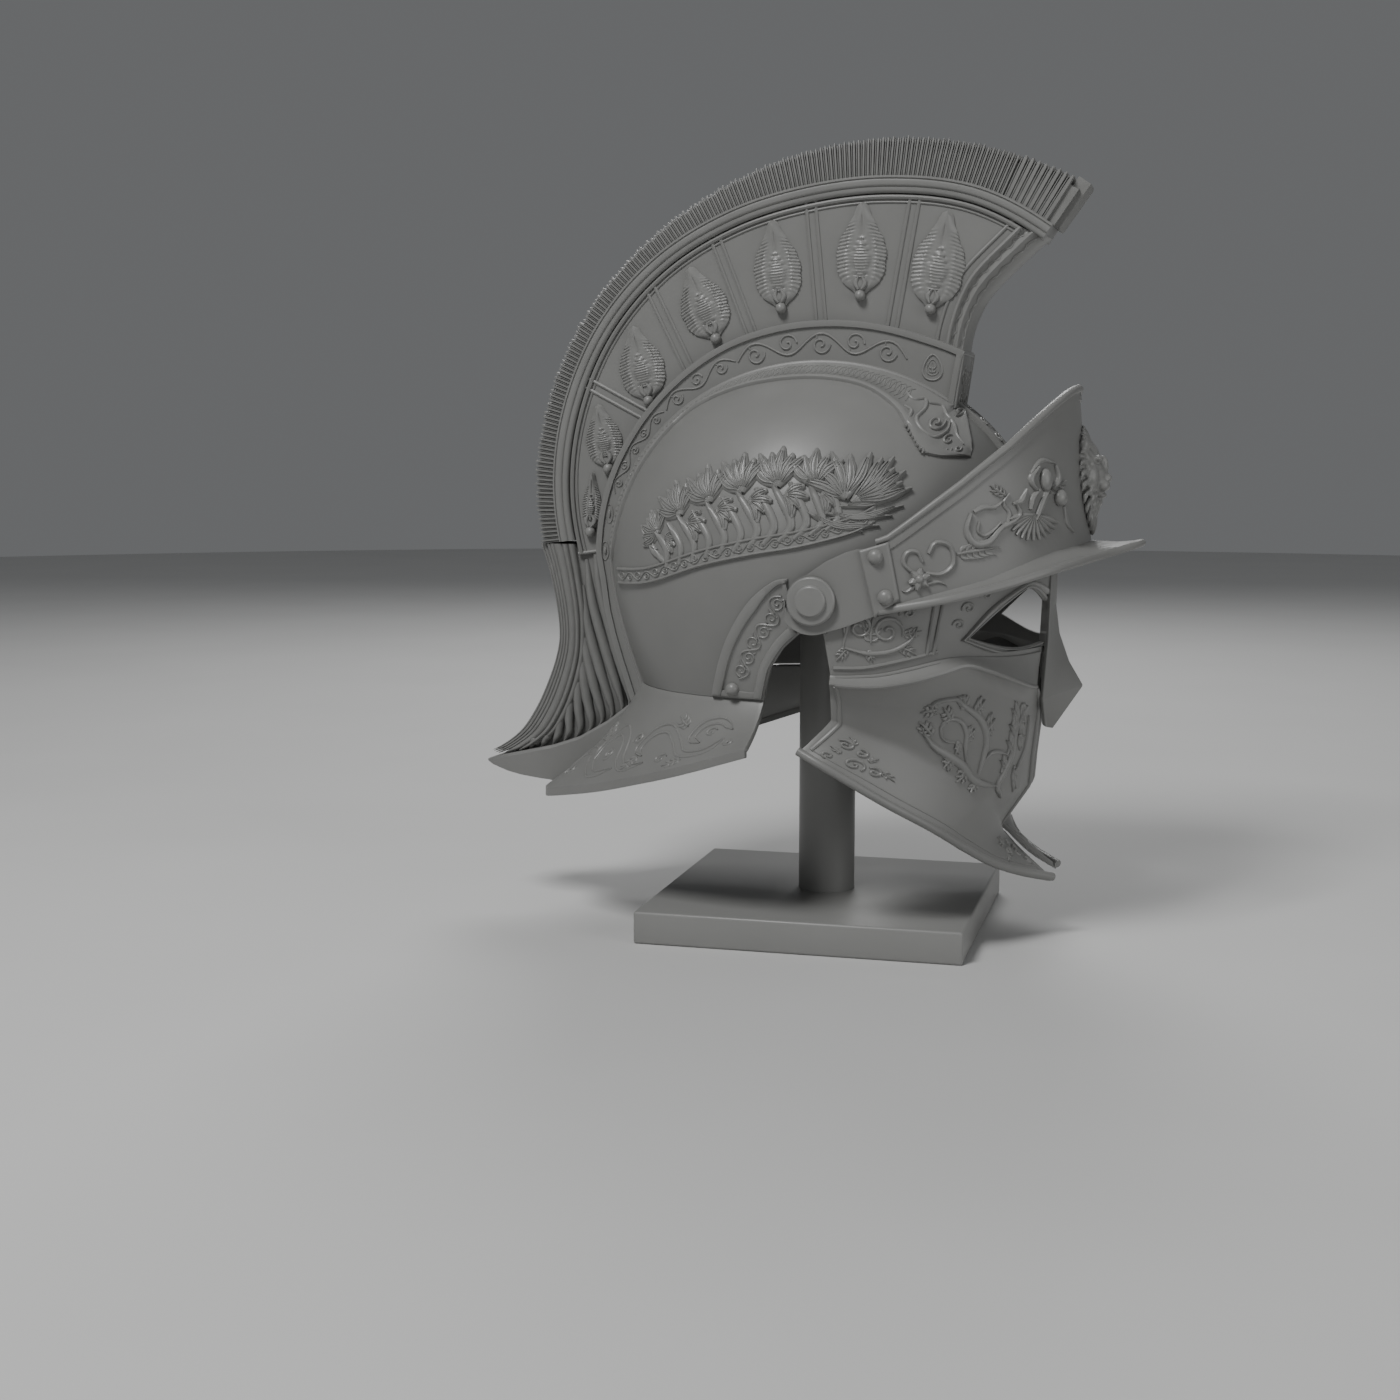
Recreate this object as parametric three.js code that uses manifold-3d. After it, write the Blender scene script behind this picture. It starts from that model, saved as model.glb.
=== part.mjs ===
// Crested gladiator helmet on a plain display stand.
// Millimetres, +Z up. The origin is the centre of the base's underside, +X is where the face
// looks, +Y is the wearer's left. Right-hand pieces are built first and mirrored to the left.
import * as THREE from 'three';
import { mergeVertices } from 'three/addons/utils/BufferGeometryUtils.js';
import Module from 'manifold-3d';

const wasm = await Module();
wasm.setup();

// Driving dimensions
const GAP = 0.3;
const REACH = 400;
const FLATNESS = 0.04;

const stand = { length: 180, width: 175, height: 18, bevel: 1.5, postRadius: 16, padRadius: 34, padZ: 262 };
const skull = {
  x: -3, z: 206, length: 121, width: 104, rise: 110, footZ: 137, taper: 17.5, wall: 3,
  frontZ: 211,
};
const pivot = {
  x: 12.5, z: 191.5, pinRadius: 4, bossRadius: 12.6, stepRadius: 7.7, bossHeight: 3,
  stepHeight: 1.6,
};
const visor = { x: 10, z: 217.5, length: 134.9, lean: 0.103, width: 109, wall: 2.4, rim: 2.7, brim: 2.4 };
const mask = { x: 10, wall: 2.4, edge: 2.8 };
const crest = {
  x: 20, z: 235, panel: 15, trim: 16.5, rail: 19, rim: 23, band: 21.5, plume: 17,
  backing: 14.5,
};
const neck = { wall: 3, edge: 2.8, sag: 9 };

// Plain numbers in degrees
const radians = (degrees) => THREE.MathUtils.degToRad(degrees);
const mix = THREE.MathUtils.lerp;

// The value at a position between the rows of a table, by straight lines
function lookUp(table, key, name, at) {
  const last = table.length - 1;
  const rising = table[last][key] > table[0][key];
  let i = 0;
  while (i < last - 1 && (rising ? table[i + 1][key] < at : table[i + 1][key] > at)) i += 1;
  const from = table[i];
  const to = table[i + 1];
  const share = THREE.MathUtils.clamp((at - from[key]) / (to[key] - from[key]), 0, 1);
  return mix(from[name], to[name], share);
}

// Points along an arc in the side view, as [x, z]
function arc(x, z, radius, from, to, steps) {
  const points = [];
  for (let i = 0; i <= steps; i += 1) {
    const angle = radians(mix(from, to, i / steps));
    points.push([x + radius * Math.cos(angle), z + radius * Math.sin(angle)]);
  }
  return points;
}

// A smooth line through a few [x, z] points
function smooth(points, steps) {
  const curve = new THREE.SplineCurve(points.map(([x, z]) => new THREE.Vector2(x, z)));
  return curve.getPoints(steps).map((point) => [point.x, point.y]);
}

// Closed solids

function toSolid(geometry) {
  const bare = geometry.clone();
  bare.deleteAttribute('normal');
  bare.deleteAttribute('uv');
  const merged = mergeVertices(bare, 1e-4);
  const vertProperties = new Float32Array(merged.attributes.position.array);
  const triVerts = new Uint32Array(merged.index.array);
  return new wasm.Manifold(new wasm.Mesh({ numProp: 3, vertProperties, triVerts }));
}

function toGeometry(solid) {
  const { vertProperties, triVerts } = solid.asOriginal().simplify(FLATNESS).getMesh();
  const geometry = new THREE.BufferGeometry();
  geometry.setAttribute('position', new THREE.BufferAttribute(vertProperties, 3));
  geometry.setIndex(new THREE.BufferAttribute(triVerts, 1));
  geometry.computeVertexNormals();
  return geometry;
}

// A solid from points and triangles, turned inside out if its volume is negative
function fromTriangles(points, triangles) {
  let volume = 0;
  for (const [a, b, c] of triangles) {
    volume += points[a].dot(new THREE.Vector3().crossVectors(points[b], points[c]));
  }
  const order = volume > 0 ? [0, 1, 2] : [0, 2, 1];
  const vertProperties = new Float32Array(points.flatMap((point) => [point.x, point.y, point.z]));
  const triVerts = new Uint32Array(triangles.flatMap((triangle) => order.map((i) => triangle[i])));
  return new wasm.Manifold(new wasm.Mesh({ numProp: 3, vertProperties, triVerts }));
}

function mirrored(solid) {
  const { vertProperties, triVerts } = solid.getMesh();
  const points = [];
  for (let i = 0; i < vertProperties.length; i += 3) {
    points.push(new THREE.Vector3(vertProperties[i], -vertProperties[i + 1], vertProperties[i + 2]));
  }
  const triangles = [];
  for (let i = 0; i < triVerts.length; i += 3) {
    triangles.push([triVerts[i], triVerts[i + 2], triVerts[i + 1]]);
  }
  return fromTriangles(points, triangles);
}

function join(...solids) {
  return solids.reduce((whole, solid) => whole.add(solid));
}

// A side-view outline of [x, z] points, extruded across the helmet from y = from to y = to
function prism(outline, from, to) {
  const shape = new THREE.Shape(outline.map(([x, z]) => new THREE.Vector2(x, z)));
  const geometry = new THREE.ExtrudeGeometry(shape, { depth: to - from, bevelEnabled: false });
  geometry.rotateX(Math.PI / 2);
  geometry.translate(0, to, 0);
  return toSolid(geometry);
}

const across = (outline, half) => prism(outline, -half, half);

// A plan of [x, y] points, extruded upwards
function upright(outline, from, to) {
  const shape = new THREE.Shape(outline.map(([x, y]) => new THREE.Vector2(x, y)));
  const geometry = new THREE.ExtrudeGeometry(shape, { depth: to - from, bevelEnabled: false });
  geometry.translate(0, 0, from);
  return toSolid(geometry);
}

// A round bar lying along Y
function bar(x, z, radius, from, to, sides = 12) {
  const geometry = new THREE.CylinderGeometry(radius, radius, to - from, sides);
  geometry.translate(x, (from + to) / 2, z);
  return toSolid(geometry);
}

// A stretched ball
function ball(centre, radii, sides = 10, rings = 7) {
  const geometry = new THREE.SphereGeometry(1, sides, rings);
  geometry.rotateX(Math.PI / 2);
  geometry.scale(...radii);
  geometry.translate(...centre);
  return toSolid(geometry);
}

// A body through closed rings of points, with a point that closes each end
function loft(rings, bottom, top) {
  const sides = rings[0].length;
  const points = [...rings.flat(), bottom, top];
  const triangles = [];
  const at = (ring, side) => ring * sides + (side % sides);
  for (let side = 0; side < sides; side += 1) {
    for (let ring = 0; ring < rings.length - 1; ring += 1) {
      triangles.push([at(ring, side), at(ring, side + 1), at(ring + 1, side + 1)]);
      triangles.push([at(ring, side), at(ring + 1, side + 1), at(ring + 1, side)]);
    }
    triangles.push([points.length - 2, at(0, side + 1), at(0, side)]);
    triangles.push([points.length - 1, at(rings.length - 1, side), at(rings.length - 1, side + 1)]);
  }
  return fromTriangles(points, triangles);
}

// The unit normal at each point of a grid of rows, towards the outside of the helmet
function gridNormals(grid) {
  const normals = grid.map((row, i) => row.map((point, j) => {
    const before = row[Math.max(j - 1, 0)];
    const after = row[Math.min(j + 1, row.length - 1)];
    const below = grid[Math.max(i - 1, 0)][j];
    const above = grid[Math.min(i + 1, grid.length - 1)][j];
    const along = new THREE.Vector3().subVectors(after, before);
    return along.cross(new THREE.Vector3().subVectors(above, below)).normalize();
  }));
  return normals;
}

// A sheet: the grid is its outer face, and inner(point, normal) gives the point behind it
function sheet(grid, inner) {
  const rows = grid.length;
  const columns = grid[0].length;
  const normals = gridNormals(grid);
  const behind = grid.flatMap((row, i) => row.map((point, j) => inner(point, normals[i][j])));
  const points = [...grid.flat(), ...behind];
  const front = (i, j) => i * columns + j;
  const back = (i, j) => rows * columns + i * columns + j;
  const triangles = [];
  const quad = (a, b, c, d) => triangles.push([a, b, c], [a, c, d]);
  for (let i = 0; i < rows - 1; i += 1) {
    for (let j = 0; j < columns - 1; j += 1) {
      quad(front(i, j), front(i, j + 1), front(i + 1, j + 1), front(i + 1, j));
      quad(back(i, j), back(i + 1, j), back(i + 1, j + 1), back(i, j + 1));
    }
    quad(front(i, 0), front(i + 1, 0), back(i + 1, 0), back(i, 0));
    quad(front(i, columns - 1), back(i, columns - 1), back(i + 1, columns - 1), front(i + 1, columns - 1));
  }
  for (let j = 0; j < columns - 1; j += 1) {
    quad(front(0, j), back(0, j), back(0, j + 1), front(0, j + 1));
    quad(front(rows - 1, j), front(rows - 1, j + 1), back(rows - 1, j + 1), back(rows - 1, j));
  }
  return fromTriangles(points, triangles);
}

const thick = (wall) => (point, normal) => point.clone().addScaledVector(normal, -wall);

// A round bead along a line of points
function bead(points, radius, steps, sides = 6) {
  const circle = new THREE.EllipseCurve(0, 0, radius, radius, 0, 2 * Math.PI);
  const section = new THREE.Shape(circle.getPoints(sides).slice(0, sides));
  const extrudePath = new THREE.CatmullRomCurve3(points);
  return toSolid(new THREE.ExtrudeGeometry(section, { steps, bevelEnabled: false, extrudePath }));
}

// Skull: an egg-shaped body, grown or shrunk by an offset

const SKULL_SIDES = 30;
const SKULL_UPPER_RINGS = 8;
const SKULL_LOWER_RINGS = 3;
const SKULL_LOWEST = 112;

function skullRing(offset, z, length, width) {
  const ring = [];
  for (let i = 0; i < SKULL_SIDES; i += 1) {
    const angle = (2 * Math.PI * i) / SKULL_SIDES;
    const x = skull.x + (length + offset) * Math.cos(angle);
    ring.push(new THREE.Vector3(x, (width + offset) * Math.sin(angle), z));
  }
  return ring;
}

function skullBody(offset) {
  const rings = [];
  for (let i = 0; i < SKULL_LOWER_RINGS; i += 1) {
    const z = mix(SKULL_LOWEST, skull.z, i / SKULL_LOWER_RINGS);
    const inset = skull.taper * ((skull.z - z) / (skull.z - skull.footZ)) ** 1.5;
    const width = skull.width - inset * (skull.width / skull.length);
    rings.push(skullRing(offset, z, skull.length - inset, width));
  }
  for (let i = 0; i < SKULL_UPPER_RINGS; i += 1) {
    const angle = radians((88 * i) / (SKULL_UPPER_RINGS - 1));
    const z = skull.z + (skull.rise + offset) * Math.sin(angle);
    const shrink = Math.cos(angle);
    rings.push(skullRing(offset * shrink, z, skull.length * shrink, skull.width * shrink));
  }
  const bottom = new THREE.Vector3(skull.x, 0, SKULL_LOWEST);
  const top = new THREE.Vector3(skull.x, 0, skull.z + skull.rise + offset);
  return loft(rings, bottom, top);
}

const skullLayer = (from, to) => skullBody(to).subtract(skullBody(from));

// Visor and face guard plans: half an ellipse in front, straight sides behind

const PLAN_STEP = 9;
const PLAN_BACK = -30;

function planRing(x, length, width, z) {
  const ring = [];
  for (let angle = -90; angle <= 90; angle += PLAN_STEP) {
    ring.push(new THREE.Vector3(x + length * Math.cos(radians(angle)), width * Math.sin(radians(angle)), z));
  }
  ring.push(new THREE.Vector3(PLAN_BACK, width, z), new THREE.Vector3(PLAN_BACK, -width, z));
  return ring;
}

function visorLength(z) {
  return visor.length - (z - visor.z) * visor.lean;
}

function visorBody(offset) {
  const rings = [150, 320].map((z) => planRing(visor.x, visorLength(z) + offset, visor.width + offset, z));
  return loft(rings, new THREE.Vector3(visor.x, 0, 150), new THREE.Vector3(visor.x, 0, 320));
}

const visorLayer = (from, to) => visorBody(to).subtract(visorBody(from));

// Half-length and half-width of the face guard at each height
const FACE_PLAN = [
  { z: 20, length: 76, width: 66 },
  { z: 60, length: 91, width: 81 },
  { z: 85, length: 106.5, width: 89 },
  { z: 100, length: 107, width: 93 },
  { z: 130, length: 109.5, width: 99.5 },
  { z: 150, length: 111, width: 103 },
  { z: 170, length: 113.5, width: 105.5 },
  { z: 200, length: 114.8, width: 106 },
  { z: 226, length: 113, width: 106 },
];

function faceBody(offset) {
  const rings = FACE_PLAN.map(({ z, length, width }) => planRing(mask.x, length + offset, width + offset, z));
  const [foot, head] = [FACE_PLAN[0], FACE_PLAN.at(-1)].map(({ z }) => new THREE.Vector3(mask.x, 0, z));
  return loft(rings, foot, head);
}

const faceLayer = (from, to) => faceBody(to).subtract(faceBody(from));

// A point on the right side of the face guard, at a plan angle (0 in front, 90 at the temple)
function facePoint(angle, z, offset = 0) {
  const length = lookUp(FACE_PLAN, 'z', 'length', z) + offset;
  const width = lookUp(FACE_PLAN, 'z', 'width', z) + offset;
  return new THREE.Vector3(mask.x + length * Math.cos(radians(angle)), -width * Math.sin(radians(angle)), z);
}

// Stand: bevelled base, round post and the pad that carries the crown

function standBase() {
  const { length, width, height, bevel } = stand;
  const rings = [[height - bevel, 0], [height, bevel]].map(([z, inset]) => {
    const x = length / 2 - inset;
    const y = width / 2 - inset;
    const corners = [[x, y], [-x, y], [-x, -y], [x, -y]];
    return corners.map(([px, py]) => new THREE.Vector3(px, py, z));
  });
  rings.unshift(rings[0].map((point) => new THREE.Vector3(point.x, point.y, 0)));
  return loft(rings, new THREE.Vector3(0, 0, 0), new THREE.Vector3(0, 0, height));
}

function column(radius, from, to, sides) {
  const geometry = new THREE.CylinderGeometry(radius, radius, to - from, sides);
  geometry.rotateX(Math.PI / 2);
  geometry.translate(0, 0, (from + to) / 2);
  return toSolid(geometry);
}

function standPost() {
  const post = column(stand.postRadius, stand.height, stand.padZ + 1, 24);
  const crown = skullBody(-skull.wall - GAP);
  return post.add(column(stand.padRadius, stand.padZ, skull.z + skull.rise, 20).intersect(crown));
}

// Skull shell with the face opening and the ear cut-outs

const EAR_CUT = [[-17.1, 137], [-15.3, 144.4], [-12, 154.7], [-4.2, 166.1], [4.4, 173.7]];
const LUG = [[16, 175], [26, 181], [33, 192], [38, 203]];

function dome() {
  const front = [[50, skull.frontZ], [REACH, skull.frontZ], [REACH, 0], [EAR_CUT[0][0], 0]];
  const opening = across([...EAR_CUT, ...LUG, ...front], REACH);
  const foot = across([[-REACH, 0], [REACH, 0], [REACH, skull.footZ], [-REACH, skull.footZ]], REACH);
  return skullLayer(-skull.wall, 0).subtract(opening).subtract(foot);
}

// Trims that lie on the skull, cut from a thin layer over it by their side outline

function onSkull(outline, height, from = -REACH, to = 0) {
  return skullLayer(GAP, height).intersect(prism(outline, from, to));
}

const EAR_TRIM_OUTER = [
  [-46.9, 137.4], [-40.8, 157.5], [-33.7, 173.5], [-22.6, 189.8], [-9.4, 200.5], [-1, 202.6],
];

function earTrim() {
  const inner = [[-0.8, 193], [-2, 185], [1, 178.5], [4.4, 174.4]];
  const cut = [[-4.6, 167], [-12.6, 155.2], [-16, 144.6], [-17.8, 137.4]];
  return onSkull([...EAR_TRIM_OUTER, ...inner, ...cut], 2.4);
}

function earRivet() {
  return ball([-33.9, -90, 142.5], [3.7, 5.5, 3.7], 8, 6).subtract(skullBody(2.7));
}

const CROWN_LINE = [
  [-116, 206], [-110, 229], [-98.5, 256.7], [-82.4, 278.6], [-66, 292], [-36.6, 302.2],
  [-2.8, 305.5], [24.7, 301.5],
];
const CROWN_TAB = [
  [43, 291], [52, 280], [58, 270], [63, 265.5], [70, 264], [84, 264.2], [84.5, 268],
  [79.5, 279], [74, 296],
];

function crownBand() {
  const over = [[74, 330], [-140, 330], [-140, 206]];
  return onSkull([...smooth(CROWN_LINE, 12), ...CROWN_TAB, ...over], 2.2, -REACH, -crest.rim - GAP);
}

const BELT_LOW = [
  [-110, 194], [-82.5, 196.9], [-49.8, 207.1], [-21.4, 213.6], [5, 218.2], [30, 224.9],
  [42, 231],
];
const BELT_HEIGHT = 9;

// The belt's upper line, from its front end back
function beltTop(offset) {
  return smooth(BELT_LOW, 10).map(([x, z]) => [x, z + BELT_HEIGHT + offset]).reverse();
}

function beltBand() {
  return onSkull([...smooth(BELT_LOW, 10), ...beltTop(0)], 2);
}

// Skull relief: leaning stems that rise from the belt and end in a feather.
// Each row gives the foot and the tip of one stem, and the half-width of its feather.
const PLUMES = [
  { footX: -84, footZ: 210, tipX: -88, tipZ: 235, half: 8 },
  { footX: -62, footZ: 217, tipX: -74, tipZ: 256, half: 10 },
  { footX: -40, footZ: 223, tipX: -54, tipZ: 270, half: 11 },
  { footX: -18, footZ: 227, tipX: -31, tipZ: 279, half: 11 },
  { footX: 4, footZ: 231, tipX: -6, tipZ: 283, half: 12 },
  { footX: 24, footZ: 235, tipX: 24, tipZ: 282, half: 12 },
];
const RELIEF_FIELD = [
  [46, 241.5], [58, 244], [60, 254], [50, 262], [30, 266], [0, 265], [-30, 260], [-60, 250],
  [-80, 236], [-95, 222],
];

const RELIEF_FAN = [[46, 241.5], [58, 244], [60, 254], [50, 261], [40, 256], [36, 246]];

function featherOutline({ footX, footZ, tipX, tipZ, half }) {
  const along = new THREE.Vector2(tipX - footX, tipZ - footZ);
  const normal = new THREE.Vector2(-along.y, along.x).normalize();
  const side = (sign) => [[0.1, 0.25], [0.75, 1]].map(([share, width]) => [
    footX + along.x * share + sign * normal.x * half * width,
    footZ + along.y * share + sign * normal.y * half * width,
  ]);
  return [...side(1), [tipX, tipZ], ...side(-1).reverse()];
}

function domeRelief() {
  const clear = prism([...beltTop(2 * GAP), [-140, 400], [100, 400], [100, 242]], -REACH, 0);
  const high = skullLayer(GAP, 4).intersect(clear);
  const raised = PLUMES.map((row) => high.intersect(prism(featherOutline(row), -REACH, 0)));
  const fan = high.intersect(prism(RELIEF_FAN, -REACH, 0));
  return join(onSkull([...beltTop(2 * GAP).reverse(), ...RELIEF_FIELD], 1.6), fan, ...raised);
}

// Neck guard: flares out from the foot of the skull to a rolled edge

const NECK_SIDE = [[-21, -115, 114.6], [-58.6, -104.5, 102.2], [-115.3, -76, 85.7], [-147, -53, 78.2]];
const NECK_REAR = [[-147, -53, 78.2], [-155, -44, 76.7], [-160, -24, 75.4], [-161.5, 0, 75.2]];
const NECK_SIDE_STEPS = 6;
const NECK_REAR_STEPS = 3;
const NECK_ROWS = 3;
const NECK_BEAD_STEPS = 20;

function curvePoints(rows, steps) {
  const points = rows.map((row) => new THREE.Vector3(...row));
  return new THREE.CatmullRomCurve3(points, false, 'catmullrom', 0.5).getPoints(steps);
}

function neckEdge() {
  const side = curvePoints(NECK_SIDE, NECK_SIDE_STEPS);
  const right = [...side, ...curvePoints(NECK_REAR, NECK_REAR_STEPS).slice(1)];
  const left = right.slice(0, -1).reverse().map((point) => new THREE.Vector3(point.x, -point.y, point.z));
  return [...right, ...left];
}

function neckGrid() {
  const edge = neckEdge();
  const inset = skull.width * (skull.taper / skull.length);
  return Array.from({ length: NECK_ROWS + 1 }, (unused, row) => edge.map((outer, column) => {
    const angle = radians(mix(97.8, 262.2, column / (edge.length - 1)));
    const x = skull.x + (skull.length - skull.taper) * Math.cos(angle);
    const foot = new THREE.Vector3(x, -(skull.width - inset) * Math.sin(angle), skull.footZ - GAP);
    const share = row / NECK_ROWS;
    const point = foot.lerp(outer, share);
    const rearness = 1 - Math.abs(column / (edge.length - 1) - 0.5) * 1.4;
    point.z -= neck.sag * rearness * Math.sin(Math.PI * share ** 0.8);
    return point;
  }));
}

function neckGuard() {
  return sheet(neckGrid(), thick(neck.wall)).add(bead(neckEdge(), neck.edge, NECK_BEAD_STEPS, 5));
}

// Everything under the neck guard's upper face, with a gap
function underNeckGuard() {
  const lift = new THREE.Vector3(0, 0, 2 * GAP);
  const lifted = neckGrid().map((row) => row.map((point) => point.clone().add(lift)));
  const lower = (point) => new THREE.Vector3(point.x, point.y, point.z - 45);
  return sheet(lifted, lower).add(bead(neckEdge(), neck.edge + GAP, NECK_BEAD_STEPS, 5));
}

// Crest outlines: the distance of each line from the crest's centre at each angle from +X
const CREST = [
  { angle: 50, plume: 212, rail: 182, rim: 106 },
  { angle: 56, plume: 210, rail: 182.3, rim: 103.3 },
  { angle: 70, plume: 205.5, rail: 183.2, rim: 100.2 },
  { angle: 85, plume: 201.3, rail: 180, rim: 101.1 },
  { angle: 100, plume: 197.1, rail: 178.4, rim: 104.5 },
  { angle: 115, plume: 194.2, rail: 180, rim: 110.4 },
  { angle: 130, plume: 193.2, rail: 182.4, rim: 118.2 },
  { angle: 145, plume: 193.3, rail: 183, rim: 126 },
  { angle: 160, plume: 192.5, rail: 181.4, rim: 134.8 },
  { angle: 175, plume: 191.2, rail: 179, rim: 144.2 },
  { angle: 190, plume: 187.4, rail: 175, rim: 152.2 },
];
const RAIL_WIDTH = 9.5;
const UNDER_RAIL = -RAIL_WIDTH - 2 * GAP;
const CREST_FRONT = 56;
const PLUME_FRONT = 55.2;
const PLUME_REAR = 186.5;
const PANEL_REAR = 189.4;
const CREST_STEP = 9;

const crestCurves = Object.fromEntries(['plume', 'rail', 'rim'].map((name) => [
  name, new THREE.SplineCurve(CREST.map((row) => new THREE.Vector2(row.angle, row[name]))),
]));

// Distance of a crest line from the centre, by a smooth curve through the table
function crestRadius(name, angle) {
  const i = CREST.findIndex((row) => row.angle > angle) - 1;
  const share = (angle - CREST[i].angle) / (CREST[i + 1].angle - CREST[i].angle);
  return crestCurves[name].getPoint((i + share) / (CREST.length - 1)).y;
}

function crestPoint(name, angle, offset = 0) {
  const radius = crestRadius(name, angle) + offset;
  return [crest.x + radius * Math.cos(radians(angle)), crest.z + radius * Math.sin(radians(angle))];
}

// Points along a crest line at shared angles, so that neighbours keep their distance
function crestLine(name, from, to, offset = 0) {
  const angles = [from];
  const next = Math.ceil((from + 1) / CREST_STEP) * CREST_STEP;
  for (let angle = next; angle < to - 1; angle += CREST_STEP) angles.push(angle);
  angles.push(to);
  return angles.map((angle) => crestPoint(name, angle, offset));
}

function crestStrip(inner, innerOffset, outer, outerOffset, from, to) {
  const low = crestLine(inner, from, to, innerOffset);
  const high = crestLine(outer, from, to, outerOffset).reverse();
  return [...low, ...high];
}

// Crest front: two lines of the concave front, from the rail down to the base band
const FRONT_BACK_LINE = [[108, 390], [99, 381], [81, 363], [73, 349], [68, 334], [65, 318]];
const FRONT_FACE_LINE = [[125.6, 384], [112.6, 374], [90.8, 353], [82.6, 340], [78.3, 326], [77, 310]];

function frontLine(share, steps = 8) {
  const line = FRONT_BACK_LINE.map(([x, z], i) => {
    const [faceX, faceZ] = FRONT_FACE_LINE[i];
    return [mix(x, faceX, share), mix(z, faceZ, share)];
  });
  return smooth(line, steps);
}

// Everything in front of one of those lines
function frontOf(share) {
  return across([...frontLine(share), [REACH, 310], [REACH, 400]], REACH);
}

// Double bars between the panels: top and foot of the middle of each pair
const PANEL_BARS = [
  { topX: 48, topZ: 401, footX: 36.5, footZ: 333 },
  { topX: -9, topZ: 402, footX: -2.5, footZ: 336 },
  { topX: -62.5, topZ: 383, footX: -40, footZ: 327 },
  { topX: -100, topZ: 357, footX: -76, footZ: 309 },
  { topX: -139, topZ: 306, footX: -99, footZ: 285 },
];
const BAR_WIDTH = 2;
const BAR_APART = 2.6;
const MOULDING_WIDTH = 4.4;

function barOutline({ topX, topZ, footX, footZ }, shift) {
  const along = new THREE.Vector2(topX - footX, topZ - footZ).normalize();
  const at = (x, z, offset) => [x - along.y * offset, z + along.x * offset];
  const low = shift - BAR_WIDTH / 2;
  const high = shift + BAR_WIDTH / 2;
  return [at(footX, footZ, low), at(topX, topZ, low), at(topX, topZ, high), at(footX, footZ, high)];
}

function crestPanel() {
  const outline = crestStrip('rim', 2 * GAP, 'rail', UNDER_RAIL, 58, PANEL_REAR);
  const limits = across(outline, REACH);
  const moulding = crestStrip('rail', UNDER_RAIL - MOULDING_WIDTH, 'rail', UNDER_RAIL, 58, PANEL_REAR);
  const inner = across(moulding, crest.trim);
  const bars = PANEL_BARS.flatMap((row) => [-BAR_APART, BAR_APART].map((shift) => {
    return across(barOutline(row, shift), crest.trim);
  }));
  const closing = across(crestStrip('rim', 2 * GAP, 'rail', UNDER_RAIL, 188, PANEL_REAR), crest.trim);
  const raised = join(...bars).intersect(limits);
  return join(across(outline, crest.panel), inner, raised, closing).subtract(frontOf(-GAP / 10));
}

// Shares of the front's depth, and the half-width of each moulding: the nose of the front is rounded
const FRONT_BANDS = [
  { from: 0, to: 0.16, half: 17.3 },
  { from: 0.15, to: 0.47, half: 15.5 },
  { from: 0.46, to: 0.62, half: 17.3 },
  { from: 0.61, to: 0.8, half: 15.5 },
  { from: 0.79, to: 0.91, half: 13.5 },
  { from: 0.9, to: 1, half: 8 },
];

function crestFrontTrim() {
  const outline = crestStrip('rim', 2 * GAP, 'rail', UNDER_RAIL, CREST_FRONT, 72);
  const bands = FRONT_BANDS.map(({ from, to, half }) => {
    return across(outline, half).intersect(frontOf(from)).subtract(frontOf(to));
  });
  return join(...bands);
}

// Rail under the plume: a core with two rounded beads on each side
function crestRail() {
  const strip = (inner, outer, half) => {
    return across(crestStrip('rail', inner, 'rail', outer, CREST_FRONT, PLUME_REAR), half);
  };
  const core = strip(-RAIL_WIDTH, 0, crest.rail - 2);
  return join(core, strip(-3.6, -0.6, crest.rail), strip(-8.6, -4.6, crest.rail - 0.6));
}

// Base band: the box along the crown, with a raised rim, a foot rim and an upright end in front
const REAR_RIM = [[-127, 194], [-125, 178], [-121.5, 163], [-117, 148], [-111, 130], [-109, 124.5]];
const BASE_INSIDE = [[-80, 124.5], [-80, 230], [-40, 280], [30, 285], [60, 270]];
const RIM_WIDTH = 3.7;

function crestBaseBand() {
  const line = (offset) => [[77 + offset, 321 + offset], ...crestLine('rim', 62, PANEL_REAR, offset),
    ...REAR_RIM.map(([x, z]) => [x - offset, z])];
  const core = across([[72, 290], ...line(-0.8), ...BASE_INSIDE], crest.band);
  const rim = across([...line(0), ...line(-RIM_WIDTH).reverse()], crest.rim);
  const end = across([[77, 321], [72, 290], [68, 290], [70, 318]], crest.rim);
  const footSide = [[72.6, 280], [77, 321], [0, 340], [-140, 300], [-140, 150], [-60, 150]];
  const foot = skullLayer(GAP, 3.6).intersect(across(footSide, crest.rim));
  return join(core, rim, end, foot).subtract(insideNape());
}

// All that lies inside the skull or under the neck guard
function insideNape() {
  const foot = skull.footZ;
  const hollow = across([[-107, 0], [0, 0], [0, foot + 2], [-104, foot + 2], [-107, foot]], REACH);
  return join(skullBody(GAP), underNeckGuard(), hollow);
}

// Low strip along the middle of the forehead. It ends above the sweep of the face guard's top edge.
function browStrip() {
  const outline = [[78.2, 321], [73.7, 280], [88, 264], [96, 250], [130, 250], [130, 321]];
  return skullLayer(GAP, 3).intersect(across(outline, 14));
}

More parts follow.
